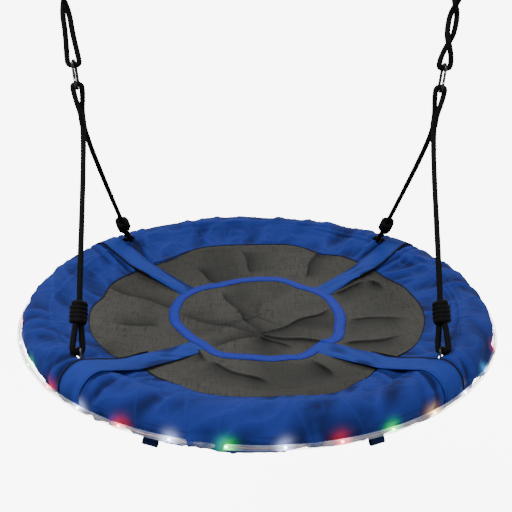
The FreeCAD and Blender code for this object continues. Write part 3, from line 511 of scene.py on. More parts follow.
def smooth_noise(x, y, seed, period=None):
    """Smooth random heights from -1 to 1; period is the whole number of cells after which x repeats."""
    table = np.random.default_rng(seed).uniform(-1, 1, NOISE_CELLS)
    xi, yi = np.floor(x).astype(int), np.floor(y).astype(int)
    fx, fy = x - xi, y - yi
    fx, fy = fx * fx * (3 - 2 * fx), fy * fy * (3 - 2 * fy)

    def at(a, b):
        a = a % period if period else a
        return table[a % NOISE_CELLS[0], b % NOISE_CELLS[1]]

    low = at(xi, yi) * (1 - fx) + at(xi + 1, yi) * fx
    high = at(xi, yi + 1) * (1 - fx) + at(xi + 1, yi + 1) * fx
    return low * (1 - fy) + high * fy


def ridged(x, y, seed, period=None):
    """Random ridges, sharp at their crests, from -1 to 1."""
    return 1 - 2 * np.abs(smooth_noise(x, y, seed, period)) ** 0.8


def bell(distance, width):
    """1 at no distance, falling smoothly to 0 over about twice the width."""
    return np.exp(-((distance / width) ** 2))


def turn_from(angle_deg, centre_deg):
    """Signed degrees from a centre, the short way round."""
    return (angle_deg - centre_deg + 180) % 360 - 180


def smoothed(x):
    """0 up to 0, 1 from 1 on, and a smooth step between them."""
    x = np.clip(x, 0, 1)
    return x * x * (3 - 2 * x)


def drawn_round(angle_deg, points):
    """A value drawn smoothly through (azimuth, value) points all the way round."""
    azimuths = np.array([a for a, _ in points], float)
    values = np.array([v for _, v in points], float)
    index = np.searchsorted(azimuths, angle_deg % 360, side="right") - 1
    after = (index + 1) % len(points)
    start = azimuths[index]
    gap = (azimuths[after] - start) % 360
    t = smoothed(((angle_deg - start) % 360) / gap)
    return values[index] * (1 - t) + values[after] * t


# ---------------------------------------------------------------- camera

camera_data = bpy.data.cameras.new("camera")
camera = bpy.data.objects.new("camera", camera_data)
bpy.context.scene.collection.objects.link(camera)
camera_data.sensor_width = 36.0
camera_data.lens = 45.27
camera_data.clip_end = 60.0
aim = Euler((math.radians(67.85), 0, math.radians(-1.65))).to_matrix()
aim = aim @ Matrix.Rotation(math.radians(0.7), 3, "Z")
camera.matrix_world = Matrix.Translation((-0.0425, -1.3292, -0.0203)) @ aim.to_4x4()
bpy.context.scene.camera = camera


# ---------------------------------------------------------------- ropes, slings and lead


def route_line(points, spacing):
    """Even points along the NURBS spline that has the route's points as its control points."""
    curve = bpy.data.curves.new("route", "CURVE")
    curve.dimensions = "3D"
    curve.resolution_u = 24
    spline = curve.splines.new("NURBS")
    spline.points.add(len(points) - 1)
    for point, place in zip(spline.points, points):
        point.co = (*place, 1.0)
    spline.order_u = 3
    spline.use_endpoint_u = True
    holder = bpy.data.objects.new("route", curve)
    mesh = bpy.data.meshes.new_from_object(holder)
    line = np.array([vertex.co for vertex in mesh.vertices])
    bpy.data.objects.remove(holder)
    bpy.data.curves.remove(curve)
    bpy.data.meshes.remove(mesh)
    steps = np.linalg.norm(np.diff(line, axis=0), axis=1)
    travelled = np.concatenate([[0], np.cumsum(steps)])
    even = np.linspace(0, travelled[-1], max(8, round(travelled[-1] / spacing)) + 1)
    return np.stack([np.interp(even, travelled, line[:, k]) for k in range(3)], 1)


def carried_frames(line):
    """Tangents and two normals carried along a line without twist."""
    tangents = np.gradient(line, axis=0)
    tangents /= np.linalg.norm(tangents, axis=1)[:, None]
    side = np.cross(tangents[0], (0.3, 0.5, 0.81))
    sides = []
    for tangent in tangents:
        side = side - tangent * side.dot(tangent)
        side = side / np.linalg.norm(side)
        sides.append(side)
    sides = np.array(sides)
    return tangents, sides, np.cross(tangents, sides)


def braid_tube(name, line, radius, around=28, braid_pitch=0.015, relief=0.00042):
    """A round braid: two families of strands that cross over and under along a line."""
    _, side, other = carried_frames(line)
    steps = np.linalg.norm(np.diff(line, axis=0), axis=1)
    s = np.concatenate([[0], np.cumsum(steps)])[:, None]
    angle = np.linspace(0, 2 * math.pi, around, endpoint=False)[None, :]
    phase = 2 * math.pi * s / braid_pitch
    crown = np.cos(3.5 * angle + phase) * np.cos(3.5 * angle - phase)
    crown = np.where(np.abs(crown) > 0, np.sign(crown) * np.abs(crown) ** 0.7, 0)
    unevenness = smooth_noise(s / 0.021, angle * 0.6, 11) * 0.00022
    reach = radius - relief + relief * np.abs(crown) * 1.4 + unevenness
    points = line[:, None] + reach[..., None] * (
        np.cos(angle)[..., None] * side[:, None] + np.sin(angle)[..., None] * other[:, None]
    )
    return grid_mesh(name, points, close_v=True, capped=True, fold=np.abs(crown))


SLING_TOP = [
    (0.0, 0.0002, -THIMBLE_LOOP),
    (0.0, THIMBLE_LOOP, -THIMBLE_LOOP),
    (0.0, THIMBLE_LOOP, 0.014),
    (0.0, 0.0165, 0.026),
]
LEFT_SLING = SLING_TOP + [
    (0.0064, 0.0, 0.052),
    (0.007, 0.0, 0.098),
    (0.0114, 0.0, SLING_FOOT - 0.015),
    (0.0114, 0.0, SLING_FOOT),
]
RIGHT_SLING = SLING_TOP + [
    (0.0076, 0.0, 0.052),
    (0.0074, 0.0, 0.084),
    (0.0056, 0.0056, 0.098),
    (0.0, 0.0078, 0.111),
    (-0.0058, 0.0056, 0.124),
    (-0.0114, 0.0, SLING_FOOT - 0.015),
    (-0.0114, 0.0, SLING_FOOT),
]
ROPE_EYE = [
    (-STRAND, KNOT_LOW + 0.005),
    (-EYE_HALF, EYE_LIFT + 0.017),
    (-EYE_HALF, EYE_LIFT),
    (EYE_HALF, EYE_LIFT),
    (EYE_HALF, EYE_LIFT + 0.017),
    (STRAND, KNOT_LOW + 0.005),
    (0.0, KNOT_LOW + 0.041),
]
ROPE_FOLD = [
    (0.0, -STRAND, SPLIT_DOWN),
    (0.0, -STRAND - 0.0003, FOLD_DOWN + 0.058),
    (0.0049, -0.0049, FOLD_DOWN + 0.035),
    (HOLD, 0.0, FOLD_DOWN + 0.014),
    (HOLD, 0.0, FOLD_DOWN),
]


def on_leg(side, end, across_eye, up_leg):
    foot, up, _, across = leg_axes(side, end)
    return foot + across * across_eye + up * up_leg


def sling_point(side, out, y, down):
    """A sling stands upright round its thimble and lies in the leaning plane below it."""
    if down < THIMBLE_GROOVE:
        return Vector((side * HANG_X, y, -down))
    return hanging(side, out, y, down)


def make_sling(side_name, side, half):
    there = [sling_point(side, out, y, down) for out, y, down in half]
    back = [sling_point(side, -out, -y, down) for out, y, down in reversed(half)]
    line = route_line(there + back, 0.0011)
    name = f"{side_name}_sling_braid"
    piece = add_piece(
        name, braid_tube(name, line, ROPE_RADIUS), "slings", ROPE_BRAID, [f"{side_name}_sling"]
    )


def make_knot(side_name, side, end_name, end):
    """The rope's end wrapped five times round its standing part."""
    foot, up, _, across = leg_axes(side, end)
    beside = up.cross(across)
    turns = 4.6
    steps = 230
    line = []
    for i in range(steps + 1):
        t = i / steps
        angle = 2 * math.pi * turns * t * side
        height = KNOT_LOW + ROPE_RADIUS * 0.9 + (KNOT_LENGTH - 1.8 * ROPE_RADIUS) * t
        tuck = 1 - 0.35 * smoothed((abs(t - 0.5) - 0.46) / 0.04)
        reach = 0.0113 * tuck + 0.0005 * math.sin(7 * angle + side + end)
        line.append(foot + up * height + (across * math.cos(angle) + beside * math.sin(angle)) * reach)
    name = f"{end_name}_{side_name}_knot_wraps"
    mesh = braid_tube(name, np.array(line), 0.0056, around=20)
    return add_piece(
        name, mesh, f"{side_name}_rope", ROPE_BRAID, [f"{end_name}_{side_name}_knot"]
    )


def make_whipping(side_name, side):
    """Thread wound side by side round both parts of the rope."""
    top = hanging(side, 0, 0, 0.257)
    down = (hanging(side, 0, 0, 0.272) - top).normalized()
    out = (hanging(side, 0.01, 0, 0) - hanging(side, 0, 0, 0)).normalized()
    along_y = Vector((0, 1, 0))
    rows, columns = 96, 48
    points = np.zeros((rows, columns, 3))
    folds = np.zeros((rows, columns))
    for i in range(rows):
        t = i / (rows - 1)
        for k in range(columns):
            angle = 2 * math.pi * k / columns
            groove = abs(math.sin(math.pi * (t * 11 + k / columns)))
            reach = 0.0058 + 0.0006 * groove ** 0.6 - 0.0008 * smoothed((abs(t - 0.5) - 0.46) / 0.04)
            middle_y = STRAND * math.tanh(4 * math.sin(angle))
            beside = along_y * (middle_y + math.sin(angle) * reach)
            points[i, k] = top + down * (0.015 * t) + out * (math.cos(angle) * reach) + beside
            # Painted shade: darker between the turns of thread.
            folds[i, k] = 1 - groove
    name = f"{side_name}_whipping_thread"
    mesh = grid_mesh(name, points, close_v=True, capped=True, fold=folds)
    return add_piece(
        name, mesh, f"{side_name}_rope", BLACK_THREAD, [f"{side_name}_rope_whipping"]
    )


def make_rope(side_name, side):
    front = [on_leg(side, -1, across, up) for across, up in ROPE_EYE]
    front += [hanging(side, out, y, down) for out, y, down in ROPE_FOLD]
    back = [on_leg(side, 1, across, up) for across, up in ROPE_EYE]
    back += [hanging(side, -out, -y, down) for out, y, down in ROPE_FOLD]
    route = front + back[::-1]
    line = route_line(route, 0.0012)
    name = f"{side_name}_rope_braid"
    body = f"{side_name}_rope"
    piece = add_piece(name, braid_tube(name, line, ROPE_RADIUS), body, ROPE_BRAID, [body])
    fittings = [make_knot(side_name, side, end_name, end) for end_name, end in ENDS]
    fittings.append(make_whipping(side_name, side))


for rope_side, rope_sign in SIDES:
    make_sling(rope_side, rope_sign, LEFT_SLING if rope_sign < 0 else RIGHT_SLING)
    make_rope(rope_side, rope_sign)


def make_light_lead():
    """Thin lead from the battery case round the underside of the rim to the plug."""
    places = [(0.3961, -0.0325), (0.4161, -0.0335)]
    for degrees in (-118, -88, -60, -34):
        turn = math.radians(degrees)
        places.append((FRAME_RADIUS + LEAD_REACH * math.cos(turn), LEAD_REACH * math.sin(turn)))
    places.append((LIGHT_RADIUS, -0.0108))
    curve = bpy.data.curves.new("light_lead_wire", "CURVE")
    curve.dimensions = "3D"
    curve.bevel_depth = 0.00125
    curve.bevel_resolution = 4
    curve.resolution_u = 12
    curve.use_fill_caps = True
    spline = curve.splines.new("NURBS")
    spline.points.add(len(places) - 1)
    for point, (x, z) in zip(spline.points, places):
        point.co = (x, 0.0, RIM_Z + z, 1.0)
    spline.order_u = 3
    spline.use_endpoint_u = True
    lead = add_piece("light_lead_wire", curve, "seat", LEAD_RUBBER, ["light_lead"])


make_light_lead()


# ---------------------------------------------------------------- webbing hangers


def make_hanger(corner, side, end):
    """Black webbing loop round the frame tube and the lower carabiner's bar, with ribbed edges."""
    foot, up, _, _ = leg_axes(side, end)
    tangent = Vector((-foot.y, foot.x, 0)).normalized()
    rise = (up - tangent * up.dot(tangent)).normalized()
    beside = tangent.cross(rise)
    tube, head, reach, wall = 0.0114, 0.0045, 0.0194, 0.0018
    tilt = math.asin((tube - head) / reach)
    middle = foot - tangent * (end * side * HANGER_SHIFT)
    outline = []
    for k in range(40):
        angle = tilt - (math.pi + 2 * tilt) * k / 39
        outline.append((tube + wall, 0.0, angle))
    for k in range(20):
        angle = math.pi - tilt - (math.pi - 2 * tilt) * k / 19
        outline.append((head + wall, reach, angle))
    columns = 15
    points = np.zeros((len(outline), columns, 3))
    folds = np.zeros((len(outline), columns))
    for i, (radius, lift, angle) in enumerate(outline):
        for k in range(columns):
            across = -1 + 2 * k / (columns - 1)
            rib = 0.00018 * math.cos(across * math.pi * 5)
            reached = radius + rib
            place = rise * (lift + reached * math.sin(angle)) + beside * (reached * math.cos(angle))
            points[i, k] = middle + place + tangent * (across * 0.005)
            # Painted shade: darker in the hollows between the ribs.
            folds[i, k] = 0.5 - 0.5 * math.cos(across * math.pi * 5)
    name = f"{corner}_hanger_webbing"
    mesh = grid_mesh(name, points, close_u=True, fold=folds)
    thicken(add_piece(name, mesh, "seat", BLACK_WEBBING, [f"{corner}_hanger"]), 0.0016, 1.0)


for corner_side, corner_sign in SIDES:
    for corner_end, corner_end_sign in ENDS:
        make_hanger(f"{corner_end}_{corner_side}", corner_sign, corner_end_sign)


# ---------------------------------------------------------------- bulbs and their painted light

BULB_COLOURS = {
    "red": (1.0, 0.030, 0.003),
    "white": (0.62, 0.70, 1.0),
    "green": (0.02, 1.0, 0.03),
    "yellow": (1.0, 0.55, 0.10),
    "blue": (0.10, 0.50, 1.0),
}
BULB_ORDER = (
    "red white red white green white red green yellow white blue red white green green white red yellow "
    "white green blue white red green white yellow red white yellow green blue white red white green"
).split()


def bulb_place(index):
    turn = math.radians(BULB_START + index * 360 / BULB_COUNT)
    return turn, Vector((LIGHT_RADIUS * math.cos(turn), LIGHT_RADIUS * math.sin(turn), RIM_Z - LIGHT_DROP))


def painted_bulb_light(points, reach=0.0135):
    """Painted light of the bulbs: how strongly and in what colour each point close to them is painted as lit.
    """
    tint = np.zeros(points.shape)
    strength = np.zeros(points.shape[:-1])
    for index, colour in enumerate(BULB_ORDER):
        _, place = bulb_place(index)
        near = bell(np.linalg.norm(points - np.array(place), axis=-1), reach)
        tint += near[..., None] * np.array(BULB_COLOURS[colour])
        strength = np.maximum(strength, near)
    return strength, tint


# ---------------------------------------------------------------- rim cover and foam

# Azimuth and radius of the cover's inner hem: it is drawn in where the straps cross it.
HEM = (
    (12, 0.368), (24, 0.354), (40, 0.364), (50, 0.366), (58, 0.350), (74, 0.378), (92, 0.366), (110, 0.372),
    (133, 0.347), (147, 0.352), (164, 0.364), (175, 0.358), (186, 0.374), (202, 0.377), (218, 0.372),
    (228, 0.353), (240, 0.366), (256, 0.379), (275, 0.375), (290, 0.386), (300, 0.372), (311, 0.354),
    (330, 0.372), (350, 0.374),
)
# Azimuths between which the light tube shows through slots in the cover.
LIGHT_SLOTS = ((158, 240), (242, 256), (263, 277), (280.5, 323), (335, 377), (60, 78), (90, 110), (124, 138))
# Where on its section the slope of the cover meets the roll, and where the links' slits are.
ROLL_TOUCH = 127.0
SLIT_ANGLE = 121.0
SLIT_TURN = 3.0
CASING_HEIGHT = 0.0128
CASING_ANGLE = math.degrees(math.asin(-LIGHT_DROP / COVER_RADIUS))


def slot_mask(azimuth):
    """1 inside a slot of the light casing, 0 between slots."""
    mask = np.zeros_like(azimuth)
    for start, stop in LIGHT_SLOTS:
        middle, half = (start + stop) / 2, (stop - start) / 2
        away = half - np.abs(turn_from(azimuth, middle))
        mask = np.maximum(mask, smoothed(away / 1.4 + 0.5))
    for centre in STRAPS.values():
        mask = np.maximum(mask, smoothed((4.6 - np.abs(turn_from(azimuth, centre))) / 1.4 + 0.5))
    return mask


def hem_height(radius):
    return MAT_EDGE + 0.0030 - np.maximum(0, SEAT_RADIUS - radius) * 0.19


def strap_nearness(azimuth, width):
    near = np.zeros_like(azimuth)
    for centre in STRAPS.values():
        near = np.maximum(near, bell(turn_from(azimuth, centre), width))
    return near


def cover_lift(azimuth, girth):
    """How far the cloth stands off its even form, its trough behind the roll, and its wrinkles.

    girth is the way round the section from the hem, in metres.
    """
    run = azimuth / 360
    round_way = girth / 0.038
    lumps = smooth_noise(run * 22, round_way * 0.9, 3, 22) * 0.0026
    slant = run * 66 + round_way * 0.55
    folds = (ridged(slant, round_way * 0.7, 5, 66) - 0.4) * 0.0034
    sharp = ridged(run * 104 - round_way * 0.35, round_way * 0.5, 9, 104)
    sharp = np.clip(sharp - 0.35, 0, 1) * 0.0030
    fine = ridged(run * 190 + round_way * 0.8, round_way * 2.0, 8, 190) * 0.0004
    roll_line = bell(girth - 0.072, 0.020)
    along = ridged(run * 13, girth / 0.011, 15, 13) * roll_line * 0.0022
    front = bell(turn_from(azimuth, 270), 38)
    trough = -bell(girth - 0.049 - 0.003 * np.sin(np.radians(azimuth * 9)), 0.0140) * front * 0.0165
    gather = np.zeros_like(azimuth)
    calm = np.ones_like(azimuth)
    for centre in STRAPS.values():
        near = turn_from(azimuth, centre)
        side = np.abs(near) - 3.6
        gather += bell(side - 2.2, 3.6) * np.sin(np.radians(near * 95 + girth * 2600)) * 0.0030
        gather -= bell(side - 0.7, 0.8) * 0.0026
        calm *= 1 - 0.9 * smoothed((3.6 - np.abs(near)) / 0.8 + 0.5)
    full = bell(turn_from(azimuth, 90), 50) * bell(girth - 0.085, 0.045) * 0.0024
    wrinkle = (folds + sharp + fine + along + gather) * calm
    lift = wrinkle + (lumps + full) * calm
    return np.clip(lift, -0.0034, 0.0066), trough, wrinkle


def link_slit(azimuth, section):
    """Which places lie in the slits that the lower links come out of, and how near the others are."""
    inside = np.zeros(azimuth.shape, bool)
    nearness = np.zeros_like(azimuth)
    for corner, centre in CORNERS.items():
        side, end = corner_signs(corner)
        across = turn_from(azimuth, centre - end * side * SLIT_TURN) / 2.35
        around = (section - SLIT_ANGLE) / 17
        reach = np.sqrt(across ** 2 + around ** 2)
        inside |= reach < 1
        nearness = np.maximum(nearness, bell(reach, 1.9))
    return inside, nearness


def make_cover():
    """Cloth sleeve over the foam: it slopes up from its hem, rolls over and tucks in underneath."""
    azimuth = np.linspace(0, 360, 1620, endpoint=False)
    slope_steps = 46
    touch = ROLL_TOUCH
    sleeve = np.linspace(touch, -168.0, 150)
    columns = slope_steps + len(sleeve)
    az, column = np.meshgrid(azimuth, np.arange(columns), indexing="ij")
    hem = drawn_round(az, HEM)
    angle = np.radians(sleeve[np.clip(column - slope_steps, 0, len(sleeve) - 1)])
    section = np.degrees(angle)
    on_slope = column < slope_steps
    t = np.clip(column / slope_steps, 0, 1)
    touch_r = FRAME_RADIUS + COVER_RADIUS * math.cos(math.radians(touch))
    touch_z = COVER_RADIUS * math.sin(math.radians(touch))
    slope_length = 0.078
    girth = np.where(on_slope, slope_length * t, slope_length + COVER_RADIUS * (math.radians(touch) - angle))
    lift, trough, wrinkle = cover_lift(az, girth)
    inside, nearness = link_slit(az, np.where(on_slope, 180.0, section))
    lift = lift * (1 - 0.8 * nearness) - 0.0012 * nearness
    from_casing = section - CASING_ANGLE
    slots = slot_mask(az)
    casing = bell(from_casing, 12.5) * CASING_HEIGHT * (1 - slots) * ~on_slope
    lip = slots * (bell(from_casing, 19) - bell(from_casing, 10)) * 0.0026 * ~on_slope
    reach = COVER_RADIUS + lift + casing + lip
    radius = FRAME_RADIUS + reach * np.cos(angle)
    height = reach * np.sin(angle)
    sag = np.sin(t * math.pi) * (0.0015 + 0.0032 * (1 - strap_nearness(az, 9)))
    ends = smoothed(t * 7)
    normal_r, normal_z = math.cos(math.radians(touch)), math.sin(math.radians(touch))
    slope_lift = (lift + trough) * ends - sag * 0.7
    slope_radius = hem + (touch_r - hem) * t + slope_lift * normal_r
    slope_height = hem_height(hem) + (touch_z - hem_height(hem)) * t + slope_lift * normal_z
    radius = np.where(on_slope, slope_radius, radius)
    height = np.where(on_slope, slope_height, height)
    height = height - (column < 3) * (3 - column) * 0.0005
    turn = np.radians(az)
    points = np.stack([radius * np.cos(turn), radius * np.sin(turn), RIM_Z + height], 2)
    keep = ~inside | on_slope
    # Painted shade: darker in the hollows of the wrinkles, along the crease of the front trough, round the
    # links' slits and in a line above each light slot.
    fold = np.clip(0.30 - wrinkle / 0.0060, 0, 1) ** 1.5
    fold = np.maximum(fold, bell(girth - 0.062, 0.0045) * bell(turn_from(az, 270), 34) * 0.8)
    fold = np.maximum(fold, nearness ** 3 * 0.5)
    fold = np.maximum(fold, 0.5 * bell(from_casing - 21, 3) * slots * ~on_slope)
    # Painted light of the bulbs on the cloth near them, given to its glow attribute.
    _, tint = painted_bulb_light(points)
    mesh = grid_mesh("rim_cover_cloth", points[:, ::-1], close_u=True, fold=fold[:, ::-1],
                     keep=np.roll(keep[:, ::-1], -1, axis=1), size=(2.95, 0.32), tint=tint[:, ::-1])
    cover = add_piece("rim_cover_cloth", mesh, "seat", COVER_CLOTH, ["rim_cover"])
    thicken(cover, 0.0011, -1.0, BLACK_WEBBING)
    return cover


make_cover()


def make_foam():
    """Grey foam round the frame, in four lengths that stop short of the links."""
    shift, half = math.degrees(0.015 / FRAME_RADIUS), math.degrees(0.024 / FRAME_RADIUS)
    middles = []
    for corner, centre in CORNERS.items():
        side, corner_end = corner_signs(corner)
        middles.append(centre - corner_end * side * shift)
    middles.sort()
    names = ("foam_back", "foam_left", "foam_front", "foam_right")
    section = np.linspace(0, 360, 72, endpoint=False)
    for i, name in enumerate(names):
        start, stop = middles[i] + half, middles[(i + 1) % 4] - half + (360 if i == 3 else 0)
        az, angle = np.meshgrid(np.linspace(start, stop, 260), section, indexing="ij")
        end = np.minimum(az - start, stop - az)
        reach = 0.0318 - 0.0016 * bell(end, 0.35) + smooth_noise(az / 3, angle / 60, 90 + i) * 0.0005
        radius = FRAME_RADIUS + reach * np.cos(np.radians(angle))
        level = RIM_Z + reach * np.sin(np.radians(angle))
        turn = np.radians(az)
        points = np.stack([radius * np.cos(turn), radius * np.sin(turn), level], 2)
        mesh = grid_mesh(f"{name}_sponge", points, close_v=True)
        thicken(add_piece(f"{name}_sponge", mesh, "seat", FOAM, [name]), 0.0130, -1.0)


make_foam()


def make_hem_binding_and_shadow_line():
    """Thin black cord along the cover's inner hem: partly a black binding, partly a painted shadow line where
    the hem meets the seat cloth.
    """
    azimuth = np.linspace(0, 2 * math.pi, 720, endpoint=False)[:, None]
    angle = np.linspace(0, 2 * math.pi, 10, endpoint=False)[None, :]
    cord_radius = 0.0011
    ring = drawn_round(np.degrees(azimuth), HEM) + 0.0004 + cord_radius * np.cos(angle)
    level = RIM_Z - 0.0084 + cord_radius * np.sin(angle) + 0 * azimuth
    points = np.stack([ring * np.cos(azimuth), ring * np.sin(azimuth), level], 2)
    add_piece("hem_binding_and_shadow_line", grid_mesh("hem_binding_and_shadow_line", points, True, True), "seat", BLACK_WEBBING)


make_hem_binding_and_shadow_line()


# ---------------------------------------------------------------- seat cloth and tape

# Creases of the seat cloth: azimuth and radius where each starts and ends, its depth and its width.
CREASES = (
    ((272, 0.092), (126, 0.150), 0.0050, 0.016),
    ((272, 0.092), (181, 0.192), 0.0046, 0.014),
    ((272, 0.092), (319, 0.208), 0.0034, 0.013),
    ((272, 0.092), (235, 0.186), 0.0026, 0.012),
    ((272, 0.092), (9, 0.178), 0.0026, 0.020),
    ((272, 0.092), (295, 0.178), 0.0022, 0.012),
    ((121, 0.189), (124, 0.290), 0.0032, 0.014),
    ((174, 0.190), (167, 0.380), 0.0046, 0.016),
    ((198, 0.232), (195, 0.330), 0.0030, 0.016),
    ((28, 0.217), (27, 0.318), 0.0036, 0.014),
    ((27, 0.318), (16, 0.330), 0.0046, 0.012),
    ((57, 0.235), (62, 0.380), 0.0036, 0.016),
    ((230, 0.210), (246, 0.245), 0.0040, 0.013),
    ((246, 0.245), (273, 0.315), 0.0026, 0.018),
    ((297, 0.240), (295, 0.330), 0.0030, 0.014),
    ((321, 0.235), (334, 0.335), 0.0032, 0.014),
    ((92, 0.225), (96, 0.350), 0.0018, 0.020),
    ((352, 0.215), (350, 0.340), 0.0016, 0.018),
)


def seat_height(radius, azimuth):
    """Height of the seat cloth over the rim's middle, and how much painted shade each place gets: on one side
    of each crease and where the panel noise sinks the cloth.
    """
    slope = np.clip((radius - FLOOR_RADIUS) / (SEAT_RADIUS - FLOOR_RADIUS), 0, 1)
    height = MAT_FLOOR + (MAT_EDGE - MAT_FLOOR) * slope
    height = height + 0.004 * bell(radius - FLOOR_RADIUS, 0.05) - 0.003 * (1 - smoothed(radius / 0.2))
    turn = np.radians(azimuth)
    x, y = radius * np.cos(turn), radius * np.sin(turn)
    shade = np.zeros_like(x)
    for (az_a, r_a), (az_b, r_b), depth, width in CREASES:
        a = np.array((r_a * math.cos(math.radians(az_a)), r_a * math.sin(math.radians(az_a))))
        b = np.array((r_b * math.cos(math.radians(az_b)), r_b * math.sin(math.radians(az_b))))
        run = b - a
        length = np.linalg.norm(run)
        run = run / length
        along = (x - a[0]) * run[0] + (y - a[1]) * run[1]
        away = (x - a[0]) * -run[1] + (y - a[1]) * run[0]
        away = away + 0.004 * np.sin(along * 55 + depth * 9000)
        ends = smoothed((along + 0.012) / 0.03) * smoothed((length + 0.012 - along) / 0.05)
        step = np.where(away > 0, np.exp(-away / width), -0.35 * np.exp(away / (width * 2.2)))
        height = height + depth * ends * step * 0.95
        # Painted shade on one side of each crease.
        shadow = np.where(away > 0, bell(away, 0.0028), np.exp(away / (width * 2.0)))
        shade = np.maximum(shade, ends * shadow * 0.85)
    ripple = smooth_noise(x / 0.05 + 20, y / 0.05 + 20, 41) * 0.0010
    ripple = ripple + smooth_noise(x / 0.018 + 40, y / 0.018 + 40, 42) * 0.0003
    panel = smooth_noise(azimuth / 360 * 17, radius / 0.16 + 3, 43, 17)
    edge = smoothed((0.372 - radius) / 0.03)
    height = MAT_EDGE * (1 - edge) + (height + ripple + panel * 0.0012) * edge
    # Painted shade also where the panel noise sinks the cloth.
    return height, np.clip(shade + np.clip(-panel, 0, 1) * 0.45, 0, 1)


def make_seat():
    """One round sheet of cloth, creased where it is drawn in, down to the sunken middle."""
    azimuth = np.linspace(0, 360, 540, endpoint=False)
    radius = np.concatenate([[0.00002], np.linspace(0.005, 0.408, 150)])
    az, r = np.meshgrid(azimuth, radius, indexing="ij")
    height, shade = seat_height(r, az)
    turn = np.radians(az)
    points = np.stack([r * np.cos(turn), r * np.sin(turn), RIM_Z + height - 0.0004], 2)
    mesh = grid_mesh("seat_cloth", points, close_u=True, fold=shade)
    uv = np.zeros(len(mesh.loops) * 2, np.float32)
    where = np.array([vertex.co[:2] for vertex in mesh.vertices])
    corners = np.zeros(len(mesh.loops), int)
    mesh.loops.foreach_get("vertex_index", corners)
    uv[0::2], uv[1::2] = where[corners, 0], where[corners, 1]
    mesh.uv_layers["UVMap"].uv.foreach_set("vector", uv)
    seat = add_piece("seat_cloth", mesh, "seat", MAT_CLOTH, ["seat_mat"])
    thicken(seat, 0.0010, -1.0)


make_seat()

# Azimuth and outer radius of the tape ring, which the straps draw into corners.
TAPE_LINE = (
    (10, 0.203), (30, 0.207), (52, 0.198), (72, 0.213), (94, 0.205), (120, 0.196), (138, 0.208), (151, 0.210),
    (172, 0.204), (190, 0.201), (208, 0.193), (229, 0.193), (245, 0.211), (264, 0.203), (284, 0.214),
    (293, 0.224), (314, 0.208), (324, 0.217), (344, 0.204),
)


def make_tape():
    """Blue tape ring over the joint between the middle and the slope, stitched near both edges."""
    azimuth = np.linspace(0, 360, 900, endpoint=False)
    across = np.linspace(0, 1, 15)
    az, t = np.meshgrid(azimuth, across, indexing="ij")
    width = 0.0235 + 0.002 * smooth_noise(az / 360 * 14, 0 * az, 51, 14)
    radius = drawn_round(az, TAPE_LINE) - width * (1 - t)
    height, _ = seat_height(radius, az)
    pucker = 0.0005 * np.sin(np.radians(az) * 110) * np.abs(2 * t - 1) ** 2
    stitch = bell(np.minimum(t, 1 - t) - 0.13, 0.04)
    crown = 0.0011 * (1 - (2 * t - 1) ** 6)
    points_height = height + 0.0008 + crown + pucker - stitch * 0.0005
    turn = np.radians(az)
    points = np.stack([radius * np.cos(turn), radius * np.sin(turn), RIM_Z + points_height], 2)
    # Darker along the sunken stitch lines, by the fold attribute.
    mesh = grid_mesh("centre_ring_tape", points[:, ::-1], close_u=True, fold=(stitch * 0.5)[:, ::-1])
    tape = add_piece("centre_ring_tape", mesh, "seat", TAPE_CLOTH, ["centre_ring"])
    thicken(tape, 0.0009, 1.0)


make_tape()


# ---------------------------------------------------------------- straps


def strap_line():
    """Radius and height of a strap's underside from the ring, over the rim and down its outside."""
    gap = COVER_RADIUS + 0.0020
    touch = ROLL_TOUCH
    start = (FRAME_RADIUS + gap * math.cos(math.radians(touch)), gap * math.sin(math.radians(touch)))
    inner = [
        (0.196, -0.0385), (0.222, -0.0355), (0.262, -0.0270), (0.312, -0.0160), (0.352, -0.0062),
        (0.378, 0.0028), (0.404, 0.0138), (0.430, 0.0258), start,
    ]
    steps = []
    for a, b in zip(inner, inner[1:]):
        steps += [(a[0] + (b[0] - a[0]) * k / 12, a[1] + (b[1] - a[1]) * k / 12) for k in range(12)]
    for k in range(81):
        angle = math.radians(touch - (touch + 68) * k / 80)
        steps.append((FRAME_RADIUS + gap * math.cos(angle), gap * math.sin(angle)))
    line = np.array(steps)
    for _ in range(30):
        line[1:-1] = (line[:-2] + 2 * line[1:-1] + line[2:]) / 4
    return line


# For each strap: its tilt, the edge its black strip lies on (partly lining, partly a painted shadow line),
# and a noise seed.
STRAP_LOOKS = {
    "front_left": {"tilt": -0.0040, "lining_and_shadow_line": -1, "seed": 61},
    "front_right": {"tilt": 0.0030, "lining_and_shadow_line": 1, "seed": 62},
    "back_left": {"tilt": 0.0020, "lining_and_shadow_line": 1, "seed": 63},
    "back_right": {"tilt": -0.0020, "lining_and_shadow_line": -1, "seed": 64},
}


